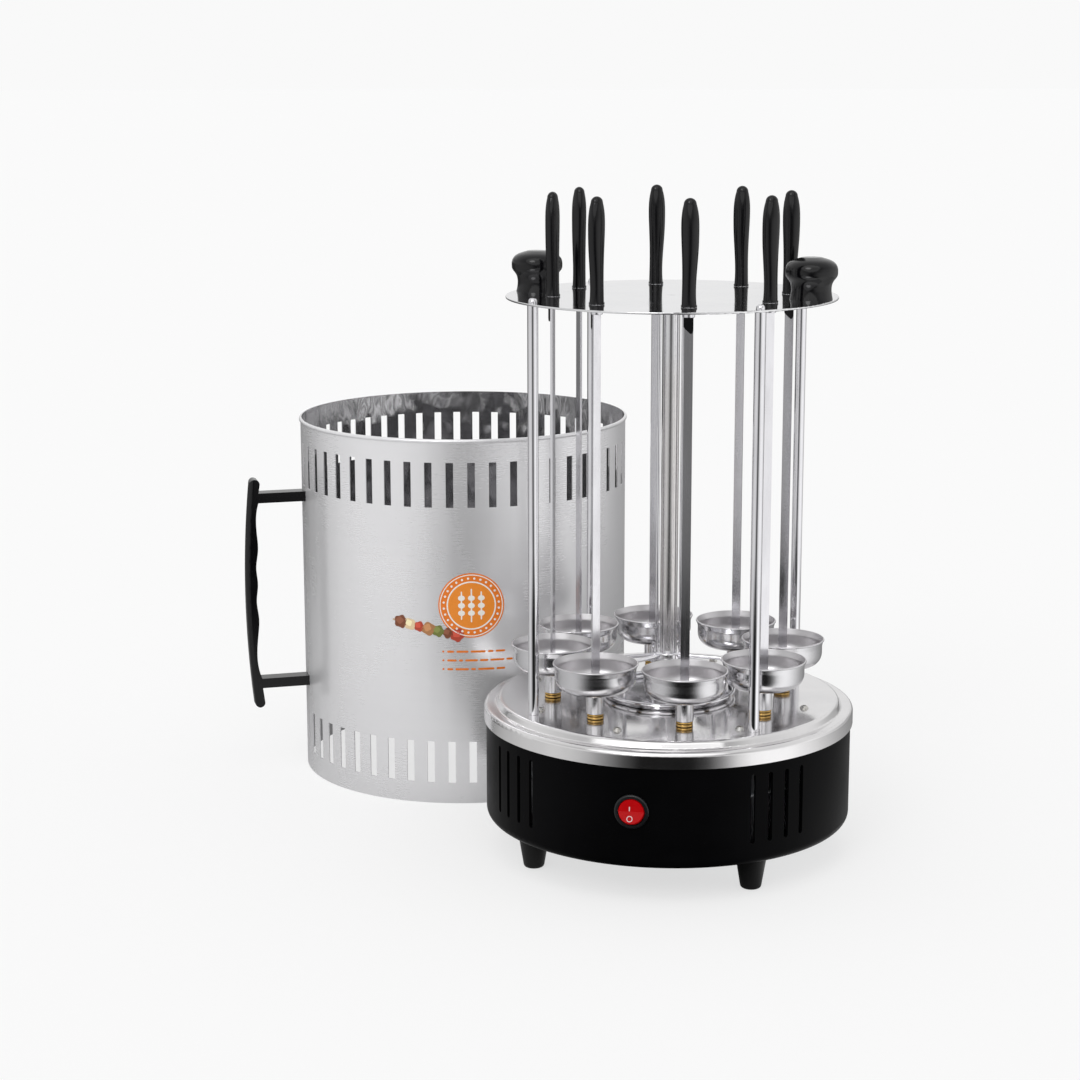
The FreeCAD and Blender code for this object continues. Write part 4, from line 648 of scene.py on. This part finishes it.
def make_row():
    """A row of coloured lumps on a stick, each with a paler patch."""
    run = Vector((math.cos(ROW_TILT), math.sin(ROW_TILT)))
    stick = pill(*(ROW_START + run * ROW_STICK_MIDDLE), *ROW_STICK_SIZE, ROW_TILT)
    print_on_sleeve("row_stick", [stick], printed("print_stick", (0.50, 0.34, 0.20)), 0)
    for tone, (word, color) in enumerate(LUMP_TONES):
        lumps, lights = [], []
        for i in [i for i, which in enumerate(LUMP_ORDER) if which == tone]:
            u, v = ROW_START + run * (LUMP_SPACING * i + LUMP_FIRST)
            size = LUMP_SIZE - LUMP_SMALLER * (i % 3)
            lumps.append(lump(u, v, size, turn=0.6 * i, sides=4 if i % 2 else 5))
            lights.append(lump(u + LIGHT_OFFSET[0], v + LIGHT_OFFSET[1], size * LIGHT_SHARE,
                               turn=0.4 * i, sides=4))
        paler = tuple(min(1.0, c * 1.45 + 0.02) for c in color)
        print_on_sleeve(f"row_{word}", lumps, printed(f"print_{word}", color), 1)
        print_on_sleeve(f"row_{word}_light", lights, printed(f"print_{word}_light", paler), 2)


def make_bars(orange):
    """Three rows of plain dashes, each after a dot."""
    bars = []
    for i, row in enumerate(DASH_ROWS):
        level = DASH_TOP - DASH_LEADING * i
        bars.append(dot(BULLET_ACROSS, level, DASH_WIDTH))
        across = DASH_LEFT
        for long in row:
            bars.append(pill(across + long / 2, level, long, DASH_WIDTH))
            across += long + DASH_GAP
    print_on_sleeve("bars", bars, orange, 0)


def make_sleeve_print():
    """The sleeve's print, all of it generic."""
    orange = printed("print_orange", (0.84, 0.20, 0.008))
    make_badge(orange)
    make_row()
    make_bars(orange)


# ---------------------------------------------------------------- camera, floor, room and lamps

def make_camera():
    """A camera where the photograph's was."""
    data = bpy.data.cameras.new("camera")
    data.sensor_width = SENSOR
    data.lens = FOCAL_PIXELS / PHOTO_SIZE * SENSOR
    data.clip_start, data.clip_end = CLIP
    cam = bpy.data.objects.new("camera", data)
    ahead = Vector((math.sin(YAW) * math.cos(PITCH), math.cos(YAW) * math.cos(PITCH), -math.sin(PITCH)))
    side = Vector((math.cos(YAW), -math.sin(YAW), 0))
    up = side.cross(ahead)
    right = math.cos(ROLL) * side + math.sin(ROLL) * up
    top = -math.sin(ROLL) * side + math.cos(ROLL) * up
    cam.matrix_world = Matrix((
        (right.x, top.x, -ahead.x, CAMERA_AT.x), (right.y, top.y, -ahead.y, CAMERA_AT.y),
        (right.z, top.z, -ahead.z, CAMERA_AT.z), (0, 0, 0, 1),
    ))
    bpy.context.scene.collection.objects.link(cam)
    bpy.context.scene.camera = cam


def make_floor():
    """A plain pale floor with a soft shadow; polished metal sees it in broad bands, as of studio cards."""
    mesh = bpy.data.meshes.new("floor")
    corners = [(FLOOR_HALF * x, FLOOR_HALF * y, -FLOOR_DROP) for x, y in ((-1, -1), (1, -1), (1, 1), (-1, 1))]
    mesh.from_pydata(corners, [], [(0, 1, 2, 3)])
    floor = bpy.data.objects.new("floor", mesh)
    bpy.context.scene.collection.objects.link(floor)

    mat = bpy.data.materials.new("floor")
    mat.use_nodes = True
    t = Tree(mat.node_tree)
    path = t.node("ShaderNodeLightPath").outputs
    x, y, _ = t.parts(t.place())
    away = t.span(t.vector("LENGTH", t.join(x, y, 0.0), result="Value"), *FLOOR_BLEND, smooth=True)
    bands = t.mix(away, t.banded(x, y, FLOOR_BANDS), t.banded(x, y, FAR_BANDS))
    lit = t.node("ShaderNodeBsdfDiffuse", {"Color": opaque(grey(PALE))})
    white = t.node("ShaderNodeEmission", {"Color": opaque(grey(1.0)), "Strength": FLOOR_GLOW})
    cards = t.node("ShaderNodeEmission", {"Color": bands, "Strength": 1.0})
    plain = t.mix_shaders(t.math("MULTIPLY", path["Is Camera Ray"], FLOOR_SHARE), lit, white)
    seen = t.mix_shaders(path["Is Glossy Ray"], plain, cards)
    t.node("ShaderNodeOutputMaterial", {"Surface": seen.outputs[0]})
    floor.data.materials.append(mat)


def make_world():
    """The room: the page's white to the camera; otherwise pale walls in broad bands, and a ceiling."""
    world = bpy.data.worlds.new("room")
    bpy.context.scene.world = world
    world.use_nodes = True
    t = Tree(world.node_tree)
    path = t.node("ShaderNodeLightPath").outputs
    x, y, z = t.parts(t.node("ShaderNodeTexCoord").outputs["Generated"])
    rise = t.span(z, *ROOM_BLEND, smooth=True)
    sides = t.mix(rise, t.banded(x, y, ROOM_BANDS), t.banded(x, y, UPPER_BANDS))
    room = t.mix(t.span(z, *CEILING_BLEND, smooth=True), sides, opaque(grey(PALE)))
    seen = t.mix(path["Is Camera Ray"], room, opaque(grey(PAGE_WHITE)))
    back = t.node("ShaderNodeBackground", {"Color": seen, "Strength": 1.0})
    t.node("ShaderNodeOutputWorld", {"Surface": back.outputs[0]})


def make_lamps():
    """A very broad soft key from above the camera, and a smaller lamp for the glints on plastic and rims."""
    for name, strength, width, turn in LAMPS:
        data = bpy.data.lights.new(name, "SUN")
        data.energy = strength
        data.angle = math.radians(width)
        lamp = bpy.data.objects.new(name, data)
        lamp.rotation_euler = [math.radians(v) for v in turn]
        bpy.context.scene.collection.objects.link(lamp)


make_camera()
dress_nodes()
make_rocker_marks()
make_sleeve_print()
make_floor()
make_world()
make_lamps()
bpy.context.scene.view_settings.view_transform = "Standard"

bpy.context.view_layer.update()
